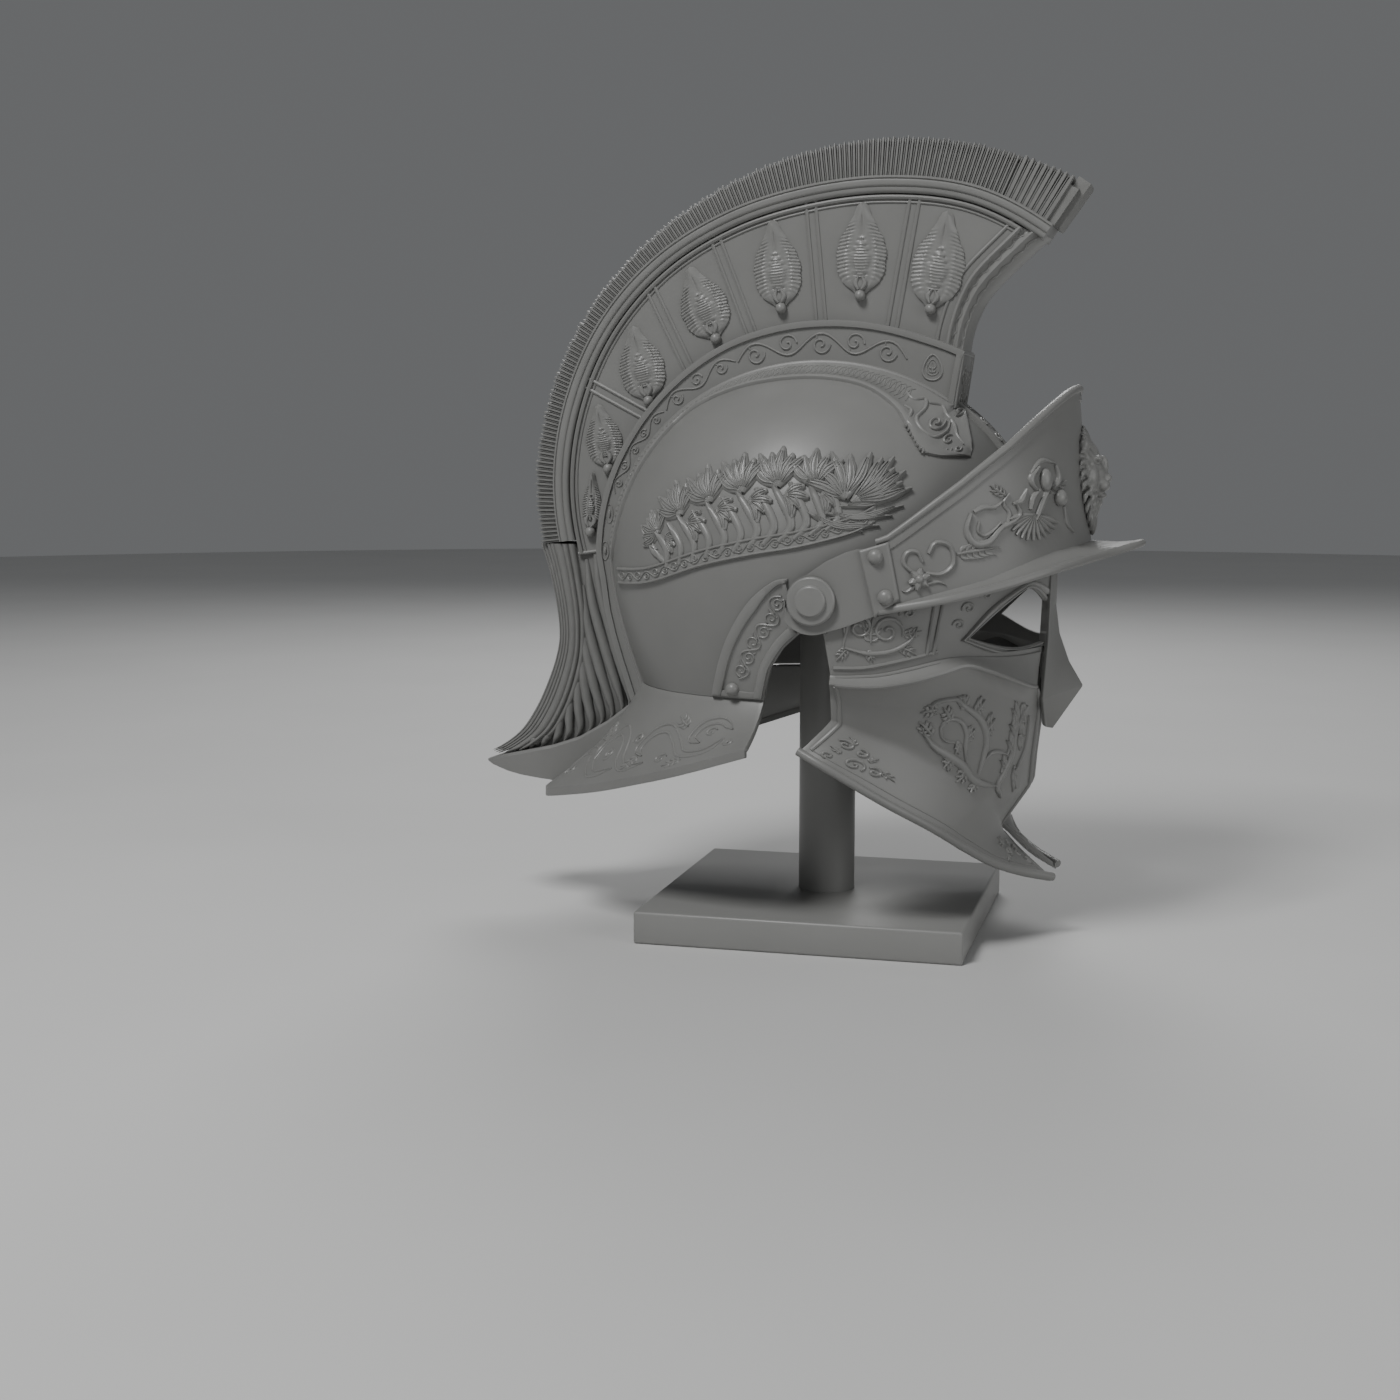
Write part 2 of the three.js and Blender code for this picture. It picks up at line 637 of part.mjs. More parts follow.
// Tail plate: the crest's base runs out over the neck guard to a point
const TAIL_PLATE_TOP = [
  [-110.5, 124], [-124, 113.5], [-142, 103], [-158, 97.5], [-173, 94], [-190, 90.5],
  [-206, 85.5],
];
const TAIL_PLATE_FOOT = [[-204.5, 83.5], [-195, 81.5], [-178, 78.7], [-160, 77], [-135, 72], [-100, 100]];
const TAIL_PLATE_HALF_PLAN = [[-210, 5], [-202, 13], [-188, 19.5], [-166, 23], [-100, 23]];

function crestTailPlate() {
  const far = TAIL_PLATE_HALF_PLAN.map(([x, y]) => [x, -y]).reverse();
  const plan = upright([...TAIL_PLATE_HALF_PLAN, ...far], 0, REACH);
  return across([...TAIL_PLATE_TOP, ...TAIL_PLATE_FOOT], REACH).intersect(plan).subtract(insideNape());
}

// Leaves on the panels: place of each leaf's ball and tip, and its width
const LEAVES = [
  { ballX: 57.5, ballZ: 343, tipX: 66, tipZ: 393, width: 28 },
  { ballX: 19, ballZ: 351, tipX: 20, tipZ: 399, width: 27 },
  { ballX: -25, ballZ: 345, tipX: -30, tipZ: 391, width: 26 },
  { ballX: -62, ballZ: 329, tipX: -77, tipZ: 367, width: 27 },
  { ballX: -101, ballZ: 295, tipX: -110, tipZ: 335, width: 26 },
  { ballX: -125, ballZ: 257, tipX: -131, tipZ: 292, width: 21 },
  { ballX: -136, ballZ: 221, tipX: -134.5, tipZ: 254, width: 11 },
];
// Half-width of the leaf's teeth along its length, both as shares
const LEAF_TEETH = [[0.2, 0.66], [0.4, 1], [0.64, 0.78]];
const LEAF_NOTCH = 0.84;
const LEAF_HEIGHT = 2.4;

function leafSide({ ballX, ballZ, tipX, tipZ, width }, shares) {
  const along = new THREE.Vector2(tipX - ballX, tipZ - ballZ);
  const normal = new THREE.Vector2(-along.y, along.x).normalize();
  const side = (sign) => shares.map(([share, half]) => [
    ballX + along.x * share + (sign * normal.x * half * width) / 2,
    ballZ + along.y * share + (sign * normal.y * half * width) / 2,
  ]);
  return [[ballX + along.x * 0.06, ballZ + along.y * 0.06], ...side(1), [tipX, tipZ], ...side(-1).reverse()];
}

function leaf(row) {
  const face = -crest.panel - GAP;
  const teeth = LEAF_TEETH.flatMap(([share, half]) => [[share, half], [share + 0.08, half * LEAF_NOTCH]]);
  const blade = prism(leafSide(row, teeth), face - LEAF_HEIGHT, face);
  const heart = prism(leafSide(row, [[0.4, 0.3]]), face - LEAF_HEIGHT - 1, face);
  const bud = ball([row.ballX, face - 2.6, row.ballZ], [3.2, 2.5, 4.6], 6, 3);
  return join(blade, heart, bud);
}

// Plume brush: locks fused to a backing, with a plain bar at the front
const PLUME_LOCKS = 22;
const PLUME_BAR = 2;
const PLUME_END_HALF = 11;

function plumeBrush() {
  const first = PLUME_FRONT + PLUME_BAR;
  const backing = across(crestStrip('rail', 2 * GAP, 'plume', -3, first, PLUME_REAR), crest.backing);
  const pitch = (PLUME_REAR - first) / PLUME_LOCKS;
  const locks = Array.from({ length: PLUME_LOCKS }, (unused, i) => {
    const from = first + pitch * (i + 0.06);
    const to = first + pitch * (i + 0.94);
    const low = [crestPoint('rail', from, 2 * GAP), crestPoint('rail', to, 2 * GAP)];
    const high = [crestPoint('plume', to - pitch * 0.25, -0.6), crestPoint('plume', from + pitch * 0.25, 0)];
    return across([...low, ...high], crest.plume);
  });
  const end = across(crestStrip('rail', 2 * GAP, 'plume', 0, PLUME_FRONT, first + 0.2), PLUME_END_HALF);
  return join(backing, end, ...locks);
}

// Plume tail: the outer and inner edge of the long strands at each height
const TAIL = [
  { z: 211, outer: -167.3, inner: -149.5 },
  { z: 196, outer: -162.5, inner: -146.5 },
  { z: 176, outer: -158.5, inner: -143.5 },
  { z: 160, outer: -157.3, inner: -143 },
  { z: 146, outer: -160, inner: -144.5 },
  { z: 130, outer: -166, inner: -149 },
  { z: 116, outer: -173, inner: -155 },
  { z: 104, outer: -181.5, inner: -163 },
  { z: 95, outer: -193, inner: -175 },
  { z: 89.5, outer: -205, inner: -186 },
];
const STRANDS = [[0, 0.3, 12], [0.28, 0.52, 15], [0.5, 0.74, 17], [0.72, 1, 19]];

function tailStrand(from, to, half) {
  const edge = (share) => smooth(TAIL.map((row) => [mix(row.outer, row.inner, share), row.z]), 10);
  return across([...edge(from), ...edge(to).reverse()], half);
}

function aboveTailPlate(solid) {
  const lift = TAIL_PLATE_TOP.map(([x, z]) => [x, z + GAP]);
  return solid.subtract(across([...lift, [-215, 60], [-100, 60]], REACH));
}

function plumeTail() {
  return aboveTailPlate(join(...STRANDS.map((strand) => tailStrand(...strand))));
}

// Drooping locks between the long strands and the crest's base rim
const LOCK_ROWS = [
  { z: 207.5, outer: -143, inner: -131 },
  { z: 190, outer: -141.5, inner: -128.5 },
  { z: 167, outer: -140, inner: -124.5 },
  { z: 150, outer: -141, inner: -119.5 },
  { z: 133, outer: -145, inner: -114 },
  { z: 117, outer: -151, inner: -112 },
  { z: 104, outer: -159, inner: -113 },
  { z: 92, outer: -171, inner: -116 },
];
const LOCK_COUNT = 5;

function plumeLocks() {
  const edge = (share) => smooth(LOCK_ROWS.map((row) => [mix(row.outer, row.inner, share), row.z]), 7);
  const locks = Array.from({ length: LOCK_COUNT }, (unused, i) => {
    const half = i % 2 === 0 ? 14 : 17;
    return across([...edge((i - 0.05) / LOCK_COUNT), ...edge((i + 1.05) / LOCK_COUNT).reverse()], half);
  });
  return aboveTailPlate(join(...locks)).subtract(underNeckGuard());
}

// Visor: plate with a rolled rim, and a brim

const VISOR_LOW = [
  [45, 186.4], [58, 190], [97.5, 200.6], [117.4, 209], [129.7, 214], [144.9, 217.5],
  [160, 217.5],
];
const VISOR_RIM = [
  [45, 222.3], [50.6, 224.4], [60.7, 232], [84.6, 250.8], [106.9, 270.2], [120, 284],
  [132.3, 297.2], [136.3, 300.9],
];
const BRIM_EDGE = [
  [54, -106, 187.4], [80.9, -101.2, 192.4], [107, -86, 198.6], [132.3, -66.6, 206.4],
  [155.6, -28, 212.8], [174.1, 0, 218],
];

// The right side of the visor plate's middle, at a point of the side view
function visorPoint([x, z]) {
  const length = visorLength(z) - visor.wall / 2;
  const share = THREE.MathUtils.clamp((x - visor.wall / 2 - visor.x) / length, 0, 1);
  const width = visor.width - visor.wall / 2;
  return new THREE.Vector3(x - visor.wall / 2, -width * Math.sqrt(1 - share * share), z);
}

function bothSides(right) {
  const left = right.slice(0, -1).reverse().map((point) => new THREE.Vector3(point.x, -point.y, point.z));
  return [...right, ...left];
}

const RIM_STEPS = 18;

function visorRimLine() {
  const right = VISOR_RIM.map(visorPoint);
  right.at(-1).y = 0;
  return bothSides(right);
}

const BRIM_STEPS = 8;

function brimGrid() {
  const junction = VISOR_LOW.slice(1, 6).map(([x, z]) => visorPoint([x, z]));
  junction.at(-1).y = 0;
  const inner = new THREE.CatmullRomCurve3(junction).getPoints(BRIM_STEPS);
  const outer = curvePoints(BRIM_EDGE, BRIM_STEPS);
  return [0, 0.5, 1].map((share) => bothSides(inner.map((point, i) => {
    const row = point.clone().lerp(outer[i], share);
    row.z += 1.2 * Math.sin(Math.PI * share) * (1 - i / BRIM_STEPS);
    return row;
  })));
}

function visorPlate() {
  const outline = [...VISOR_LOW, [160, 301], [136.3, 300.9], ...VISOR_RIM.slice(0, -1).reverse()];
  const plate = visorLayer(-visor.wall, 0).intersect(across(outline, REACH));
  const brim = sheet(brimGrid(), (point) => new THREE.Vector3(point.x, point.y, point.z - visor.brim));
  return join(plate, brim, bead(visorRimLine(), visor.rim, RIM_STEPS));
}

// Hinge arms and the strap plates that join them to the visor
const ARM_FRONT = 45 - GAP;

function visorArm() {
  const head = arc(pivot.x, pivot.z, 13.4, 104, 190, 5);
  const heel = arc(pivot.x, pivot.z, 17.5, 215, 292, 4);
  const top = [[ARM_FRONT, 218.8], [35, 218], [29.3, 216.3], [20, 212]];
  const outline = [...top, ...head, ...heel, [ARM_FRONT, 185]];
  const arm = visorLayer(-visor.wall, 0).intersect(prism(outline, -REACH, 0));
  return arm.subtract(bar(pivot.x, pivot.z, pivot.pinRadius + GAP, -REACH, 0));
}

const STRAP = [[36.4, 217.5], [51.1, 222], [56.9, 192.8], [44.7, 183.6]];
const STRAP_HEIGHT = 2.3;

function visorStrap() {
  const plate = visorLayer(GAP, STRAP_HEIGHT).intersect(prism(STRAP, -REACH, 0));
  return plate.subtract(bead(visorRimLine(), visor.rim + GAP, RIM_STEPS));
}

const STRAP_RIVETS = [[44.8, 214.5], [50, 194]];

function strapRivet([x, z]) {
  const [, y] = visorPoint([x, z]).toArray();
  return ball([x, y - STRAP_HEIGHT - 0.5, z], [3.9, 3.9, 3.9], 8, 6).subtract(visorBody(STRAP_HEIGHT + GAP));
}

// Lion mask: mane, head, brows, muzzle, jaw and beard fused together.
// Each row is one rounded mass: centre and half-sizes, mirrored where it lies off the middle.
const LION = [
  { x: 137, y: 0, z: 252, length: 9.6, width: 21, height: 31 },
  { x: 145, y: 0, z: 256, length: 8.5, width: 12.5, height: 15 },
  { x: 148.6, y: 0, z: 250, length: 6, width: 5.4, height: 9 },
  { x: 150, y: 4, z: 246.5, length: 4.6, width: 4.6, height: 4.2 },
  { x: 147.6, y: 6, z: 259, length: 4.4, width: 4.4, height: 3 },
  { x: 140, y: 14, z: 267, length: 4.4, width: 4.4, height: 5 },
  { x: 148, y: 0, z: 239.5, length: 5, width: 6, height: 4 },
  { x: 144, y: 0, z: 228.5, length: 4.6, width: 7.4, height: 8.6 },
];

function lionMask() {
  const masses = LION.flatMap(({ x, y, z, length, width, height }) => {
    const sides = y === 0 ? [0] : [-y, y];
    return sides.map((side) => ball([x, side, z], [length, width, height], 8, 5));
  });
  return join(...masses).subtract(visorBody(GAP));
}

// Face guard: brow mask, nose piece, eye frames and cheek guards

const MASK_SPLIT = [
  [21.3, 154], [39.5, 154.6], [60.6, 159], [77.4, 162.8], [92, 162.4], [106, 161], [160, 161],
];
const MASK_TOP = [[160, 216], [60, 212], [35, 208], [20, 203]];
const EYE = [
  [89, 171.4], [101.5, 183.5], [112, 193], [116, 195], [120.3, 191], [123.6, 181.4],
  [123.2, 167.5], [118, 164.6], [110, 164.2], [101.7, 166.3],
];

// All in front of the middle and below a height
const below = (z) => across([[0, 0], [REACH, 0], [REACH, z], [0, z]], REACH);

function growOutline(outline, distance) {
  const count = outline.length;
  const centre = outline.reduce(([sx, sz], [x, z]) => [sx + x / count, sz + z / count], [0, 0]);
  return outline.map(([x, z]) => {
    const away = new THREE.Vector2(x - centre[0], z - centre[1]);
    const length = away.length();
    away.multiplyScalar((length + distance) / length);
    return [centre[0] + away.x, centre[1] + away.y];
  });
}

const TEMPLE_BARS = [[69, 72], [73.5, 77.5]];

function browMask() {
  const lug = arc(pivot.x, pivot.z, 12, 60, 290, 8);
  const outline = [...MASK_SPLIT, ...MASK_TOP, ...lug, [18.6, 172]];
  const region = across(outline, REACH);
  const shell = faceLayer(-mask.wall, 0).intersect(region);
  const bars = TEMPLE_BARS.map(([from, to]) => faceLayer(-1, 1.5).intersect(region)
    .intersect(across([[from, 150], [to, 150], [to, 196], [from, 194]], REACH)));
  const pins = bar(pivot.x, pivot.z, pivot.pinRadius + GAP, -REACH, REACH);
  return join(shell, ...bars).subtract(across(EYE, REACH)).subtract(pins);
}

// Raised frame round each eye, clear of the nose piece and of the cheek guards' top edge
const EYE_FRAME = { inner: 0.4, outer: 4.2, height: 2.4, footZ: 162.6 };
const NOSE_CLEAR = 18.5;

function eyeFrame() {
  const grown = (distance) => prism(growOutline(EYE, distance), -REACH, 0);
  const nose = prism([[0, 0], [REACH, 0], [REACH, REACH], [0, REACH]], -NOSE_CLEAR, NOSE_CLEAR);
  const rim = faceLayer(GAP, EYE_FRAME.height).intersect(grown(EYE_FRAME.outer));
  return rim.subtract(grown(EYE_FRAME.inner)).subtract(below(EYE_FRAME.footZ)).subtract(nose);
}

// Nose piece: the folded ridge and its two feet at each level
const NOSE = [
  { ridgeX: 127.4, ridgeZ: 208, footZ: 208, half: 9 },
  { ridgeX: 127.4, ridgeZ: 197, footZ: 197, half: 12 },
  { ridgeX: 127, ridgeZ: 184, footZ: 183, half: 15 },
  { ridgeX: 129.3, ridgeZ: 168, footZ: 165, half: 17 },
  { ridgeX: 135, ridgeZ: 152.6, footZ: 149, half: 17.5 },
  { ridgeX: 143, ridgeZ: 139.4, footZ: 133, half: 17.5 },
  { ridgeX: 126.8, ridgeZ: 114.5, footZ: 116, half: 3 },
];
// How far the blade's back keeps off the face, and off the cheek guards below a height
const NOSE_BACK = { share: 0.84, overFace: 0.9, overCheeks: 3.2, cheekZ: 146 };

function nasal() {
  const grid = NOSE.map(({ ridgeX, ridgeZ, footZ, half }) => {
    const foot = facePoint(0, footZ, GAP).x;
    const x = foot - (half * half) / (2 * lookUp(FACE_PLAN, 'z', 'width', footZ));
    const ridge = new THREE.Vector3(ridgeX, 0, ridgeZ);
    const footX = x + 2 * GAP;
    return [new THREE.Vector3(footX, -half, footZ), ridge, new THREE.Vector3(footX, half, footZ)];
  });
  const behind = (point) => new THREE.Vector3(point.x - mask.wall - 2 * GAP, point.y * NOSE_BACK.share, point.z);
  const blade = sheet(grid, behind);
  const overCheeks = faceBody(NOSE_BACK.overCheeks).intersect(below(NOSE_BACK.cheekZ));
  return blade.subtract(faceBody(NOSE_BACK.overFace)).subtract(overCheeks);
}

// Cheek guard lines from the temple (90 degrees) to the front: heights of the top edge, the sharp
// ridge, the foot of the ridge's underside, and the fold where the flare begins, and how far the
// ridge stands out.
const CHEEK = [
  { angle: 84.2, top: 153, ridge: 149, under: 139.5, fold: 128.7, proud: 7 },
  { angle: 78, top: 153.2, ridge: 148, under: 135.5, fold: 121.5, proud: 7.3 },
  { angle: 71, top: 154.2, ridge: 148, under: 135, fold: 114, proud: 7.5 },
  { angle: 63, top: 157.3, ridge: 150.5, under: 138, fold: 103.5, proud: 7.5 },
  { angle: 55, top: 160.6, ridge: 154.3, under: 141, fold: 94, proud: 7.5 },
  { angle: 48.5, top: 161.6, ridge: 157.5, under: 140.5, fold: 86.5, proud: 7.6 },
  { angle: 42, top: 161.1, ridge: 154.5, under: 137, fold: 79.5, proud: 7.6 },
  { angle: 34, top: 160.2, ridge: 149.5, under: 132.5, fold: 73, proud: 7.3 },
  { angle: 26, top: 159.7, ridge: 144.7, under: 130, fold: 67.5, proud: 6 },
  { angle: 18, top: 159.7, ridge: 141.7, under: 130, fold: 63, proud: 2.5 },
  { angle: 11, top: 159.7, ridge: 140.5, under: 131, fold: 59.5, proud: 0.5 },
];
// The flare's edge, from its rear corner to the chin
const FLARE_EDGE = [
  [4.8, -104, 112], [22, -106.5, 103.2], [50, -98, 85.8], [72, -84, 71.4], [88, -66, 57.5],
  [101, -48, 46.5], [115, -31, 39], [130, -17, 34],
];

function cheekGrid() {
  const last = CHEEK.length - 1;
  const edge = curvePoints(FLARE_EDGE, last);
  return [0, 1, 2, 3, 4, 5].map((row) => CHEEK.map(({ angle, top, ridge, under, fold, proud }, i) => {
    if (row === 5) return edge[i];
    const z = [top, ridge, under, (under + fold) / 2, fold][row];
    const offset = [0, proud, 0, 0, 0][row];
    const front = row > 1 ? mix(angle, angle * 0.45, i / last) : angle;
    return facePoint(front, z, offset);
  }));
}

// The border bead along the mouth slit stops below the nose piece
const SLIT_BEAD = { radius: 1.9, stop: 0.55 };

function cheekGuard() {
  const grid = cheekGrid();
  const shell = sheet(grid, thick(mask.wall));
  const hem = grid[5].map((point) => point.clone().add(new THREE.Vector3(0, 0, -0.8)));
  const [upper, middle, fold] = [2, 3, 4].map((row) => grid[row].at(-1));
  const slit = [fold, middle, middle.clone().lerp(upper, SLIT_BEAD.stop)];
  return join(shell, bead(hem, mask.edge, 10, 5), bead(slit, SLIT_BEAD.radius, 3, 5));
}

// Pivot bosses: a cap on a pin that reaches in to the skull
function pivotBoss() {
  const face = -visor.width - GAP;
  const cap = bar(pivot.x, pivot.z, pivot.bossRadius, face - pivot.bossHeight, face, 24);
  const step = bar(pivot.x, pivot.z, pivot.stepRadius, face - pivot.bossHeight - pivot.stepHeight, face, 16);
  const pin = bar(pivot.x, pivot.z, pivot.pinRadius, face, -90, 12).subtract(skullBody(GAP));
  return join(cap, step, pin);
}

// Finishes
function finish(color, roughness, metalness) {
  return new THREE.MeshStandardMaterial({ color, roughness, metalness });
}

const helmetMetal = finish(0x8b8b89, 0.42, 0.7);
const trimMetal = finish(0x959592, 0.36, 0.75);
const bristle = finish(0x838381, 0.7, 0.1);
const standPaint = finish(0x9a9a98, 0.45, 0.1);

const helmet = new THREE.Group();

function add(name, solid, material) {
  const mesh = new THREE.Mesh(toGeometry(solid), material);
  mesh.name = name;
  helmet.add(mesh);
}

function addPair(name, solid, material) {
  add(`${name}_right`, solid, material);
  add(`${name}_left`, mirrored(solid), material);
}

add('stand_base', standBase(), standPaint);
add('stand_post', standPost(), standPaint);
add('dome', dome(), helmetMetal);
add('neck_guard', neckGuard(), helmetMetal);
addPair('ear_trim', earTrim(), trimMetal);
addPair('ear_rivet', earRivet(), trimMetal);
addPair('crown_band', crownBand(), trimMetal);
addPair('belt_band', beltBand(), trimMetal);
addPair('dome_relief', domeRelief(), trimMetal);
add('crest_base_band', crestBaseBand(), helmetMetal);
add('crest_panel', crestPanel(), helmetMetal);
add('crest_front_trim', crestFrontTrim(), trimMetal);
add('crest_rail', crestRail(), trimMetal);
add('crest_tail_plate', crestTailPlate(), helmetMetal);
add('brow_strip', browStrip(), trimMetal);
LEAVES.forEach((row, i) => {
  const solid = leaf(row);
  add(`leaf_right_${i + 1}`, solid, trimMetal);
  add(`leaf_left_${i + 1}`, mirrored(solid), trimMetal);
});
add('plume_brush', plumeBrush(), bristle);
add('plume_tail', plumeTail(), bristle);
add('plume_locks', plumeLocks(), bristle);
add('visor_plate', visorPlate(), helmetMetal);
add('lion_mask', lionMask(), trimMetal);
addPair('visor_arm', visorArm(), helmetMetal);
addPair('visor_strap', visorStrap(), helmetMetal);
STRAP_RIVETS.forEach((place, i) => addPair(`strap_rivet_${i + 1}`, strapRivet(place), trimMetal));
addPair('pivot_boss', pivotBoss(), trimMetal);
add('brow_mask', browMask(), helmetMetal);
add('nasal', nasal(), helmetMetal);
addPair('eye_frame', eyeFrame(), trimMetal);
addPair('cheek_guard', cheekGuard(), helmetMetal);

export default helmet;
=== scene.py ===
# %% [markdown]
# # A crested gladiator helmet on its stand
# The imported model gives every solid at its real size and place. This lesson dresses those solids:
# each shell, moulding, leaf, bristle and scroll is made again as a fine mesh in the same frame, and
# it rides on the same body. All sizes below are in millimetres, and one factor turns them to metres.

# %% The frame
from math import acos, atan2, cos, hypot, pi, radians, sin, sqrt

import bmesh
import bpy
import numpy as np
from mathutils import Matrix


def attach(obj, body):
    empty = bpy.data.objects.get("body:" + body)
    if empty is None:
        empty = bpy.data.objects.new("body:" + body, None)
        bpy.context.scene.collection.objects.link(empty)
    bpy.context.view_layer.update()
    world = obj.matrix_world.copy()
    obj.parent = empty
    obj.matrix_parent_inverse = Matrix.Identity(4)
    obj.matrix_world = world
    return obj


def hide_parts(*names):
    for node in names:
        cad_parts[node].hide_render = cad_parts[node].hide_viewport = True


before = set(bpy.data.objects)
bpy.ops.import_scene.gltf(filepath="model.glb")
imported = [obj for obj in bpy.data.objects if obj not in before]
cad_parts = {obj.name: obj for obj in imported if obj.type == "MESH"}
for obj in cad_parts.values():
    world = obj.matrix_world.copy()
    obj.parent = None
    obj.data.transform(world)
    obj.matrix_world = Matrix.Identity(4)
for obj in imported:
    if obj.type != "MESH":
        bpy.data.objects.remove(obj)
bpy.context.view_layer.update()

MM = 0.001
BODY = "helmet_and_stand"

# %% [markdown]
# ## Camera
# The photograph was matched with a 50 mm lens, a little right of the helmet's side and slightly
# above it, looking down by 7.5 degrees. The camera is only placed and turned, with no shift.

# %% Camera
CAMERA_PLACE = (0.2131, -1.0796, 0.2713)
CAMERA_TURN = 14.965
CAMERA_DROP = 7.52
bpy.ops.object.camera_add(location=CAMERA_PLACE)
camera = bpy.context.object
camera.rotation_euler = (radians(90 - CAMERA_DROP), 0, radians(CAMERA_TURN))
camera.data.lens = 50
camera.data.sensor_width = 36
bpy.context.scene.camera = camera
print("camera at", CAMERA_PLACE)

# %% [markdown]
# ## Making materials
# Everything on this helmet is the same grey, so the finishes differ by their gloss and grain. One
# function turns an sRGB hex colour to the linear values that a shader needs, and one function adds
# a node with its settings and links.

# %% Colour and nodes
def linear(hex_colour, alpha=1.0):
    values = [int(hex_colour[i:i + 2], 16) / 255 for i in (1, 3, 5)]
    return (*[v / 12.92 if v <= 0.04045 else ((v + 0.055) / 1.055) ** 2.4 for v in values], alpha)


def add_node(tree, kind, settings=None, inputs=None):
    node = tree.nodes.new(kind)
    for name, value in (settings or {}).items():
        setattr(node, name, value)
    for name, value in (inputs or {}).items():
        if isinstance(value, bpy.types.NodeSocket):
            tree.links.new(value, node.inputs[name])
        else:
            node.inputs[name].default_value = value
    return node


def per_metre(size_mm):
    """Texture scale whose cells are about this many millimetres across."""
    return 1 / (size_mm * MM)


def two_tones(tree, noise, dark, light):
    """Mixes two colours by a noise texture."""
    colour = add_node(tree, "ShaderNodeMix", {"data_type": "RGBA"}, {"Factor": noise.outputs["Fac"]})
    colour.inputs["A"].default_value = linear(dark)
    colour.inputs["B"].default_value = linear(light)
    return colour.outputs["Result"]


def painted(name, dark, light, rough, cloud_mm, grain_mm, grain_height_mm, stretch=(1, 1, 1)):
    """A sprayed finish: soft clouds in its colour, uneven gloss and a fine grain that stands proud."""
    material = bpy.data.materials.new(name)
    material.use_nodes = True
    tree = material.node_tree
    shader = tree.nodes["Principled BSDF"]
    place = add_node(tree, "ShaderNodeTexCoord")
    mapping = add_node(tree, "ShaderNodeMapping", None, {"Vector": place.outputs["Object"], "Scale": stretch})
    at = mapping.outputs["Vector"]
    clouds, grain = (
        add_node(tree, "ShaderNodeTexNoise", None, {"Vector": at, "Scale": per_metre(size), "Detail": detail})
        for size, detail in ((cloud_mm, 5.0), (grain_mm, 3.0)))
    gloss = add_node(tree, "ShaderNodeMapRange", None, {
        "Value": clouds.outputs["Fac"], "To Min": rough - 0.06, "To Max": rough + 0.08})
    bump = add_node(tree, "ShaderNodeBump", None, {
        "Height": grain.outputs["Fac"], "Strength": 0.35, "Distance": grain_height_mm * MM})
    tree.links.new(two_tones(tree, clouds, dark, light), shader.inputs["Base Color"])
    tree.links.new(gloss.outputs["Result"], shader.inputs["Roughness"])
    tree.links.new(bump.outputs["Normal"], shader.inputs["Normal"])
    return material

# %% [markdown]
# ## The finishes
# Satin primer on cast metal: a matte grey with a soft wide highlight and the faint orange peel of a
# spray gun, about 1.2 mm across. The raised ornament is the same primer, rubbed a little smoother
# by hands. The bristle is painted too, and its grain is drawn out along the hairs. The stand has a
# smoother, slightly lighter lacquer.

# %% Finishes
FINISH = {
    "helmet_metal": painted("satin_primer_on_cast_metal", "#767674", "#828280", 0.40, 38, 1.2, 0.05),
    "trim_metal": painted("rubbed_primer_on_ornament", "#7b7b79", "#888886", 0.34, 24, 0.9, 0.04),
    "plume_bristle": painted("painted_stiff_bristle", "#6f6f6d", "#80807e", 0.52, 6, 0.8, 0.08, (1, 3, 1)),
    "stand_paint": painted("sprayed_stand_lacquer", "#858583", "#8f8f8d", 0.38, 60, 1.6, 0.03),
}
print("finishes:", ", ".join(material.name for material in FINISH.values()))

# %% [markdown]
# ## Modelling helpers
# A curved shell is easiest to make from a flat grid primitive whose points are then set in place by
# a function of two shares, u along and v across, each from 0 to 1. The grid keeps clean quads, so
# the wall that Solidify adds has no creases. A bar with one closed section is easier as a loft of
# rings. Both give a mesh in metres at its final place.

# %% Grids and lofts
def only(piece):
    bpy.ops.object.select_all(action="DESELECT")
    piece.select_set(True)
    bpy.context.view_layer.objects.active = piece


def modify(piece, kind, **settings):
    only(piece)
    modifier = piece.modifiers.new(kind.title(), kind)
    for name, value in settings.items():
        setattr(modifier, name, value)
    bpy.ops.object.modifier_apply(modifier=modifier.name)


def points_of(piece):
    flat = np.empty(len(piece.data.vertices) * 3)
    piece.data.vertices.foreach_get("co", flat)
    return flat.reshape(-1, 3)


def turn_out(piece, inside):
    """Flips the faces if most of them look towards a point inside the helmet."""
    faces = piece.data.polygons
    normals, centres, areas = np.empty(len(faces) * 3), np.empty(len(faces) * 3), np.empty(len(faces))
    faces.foreach_get("normal", normals)
    faces.foreach_get("center", centres)
    faces.foreach_get("area", areas)
    away = centres.reshape(-1, 3) - np.array(inside) * MM
    if (np.einsum("ij,ij->i", normals.reshape(-1, 3), away) * areas).sum() < 0:
        piece.data.flip_normals()


def bent_grid(name, place, columns, rows, inside=(0, 0, 210)):
    """A grid primitive whose points go where place(u, v) says."""
    bpy.ops.mesh.primitive_grid_add(x_subdivisions=columns, y_subdivisions=rows, size=2)
    piece = bpy.context.object
    piece.name = piece.data.name = name
    u, v = (points_of(piece)[:, k] / 2 + 0.5 for k in (0, 1))
    piece.data.vertices.foreach_set("co", (place(u, v) * MM).ravel())
    piece.data.update()
    turn_out(piece, inside)
    return piece


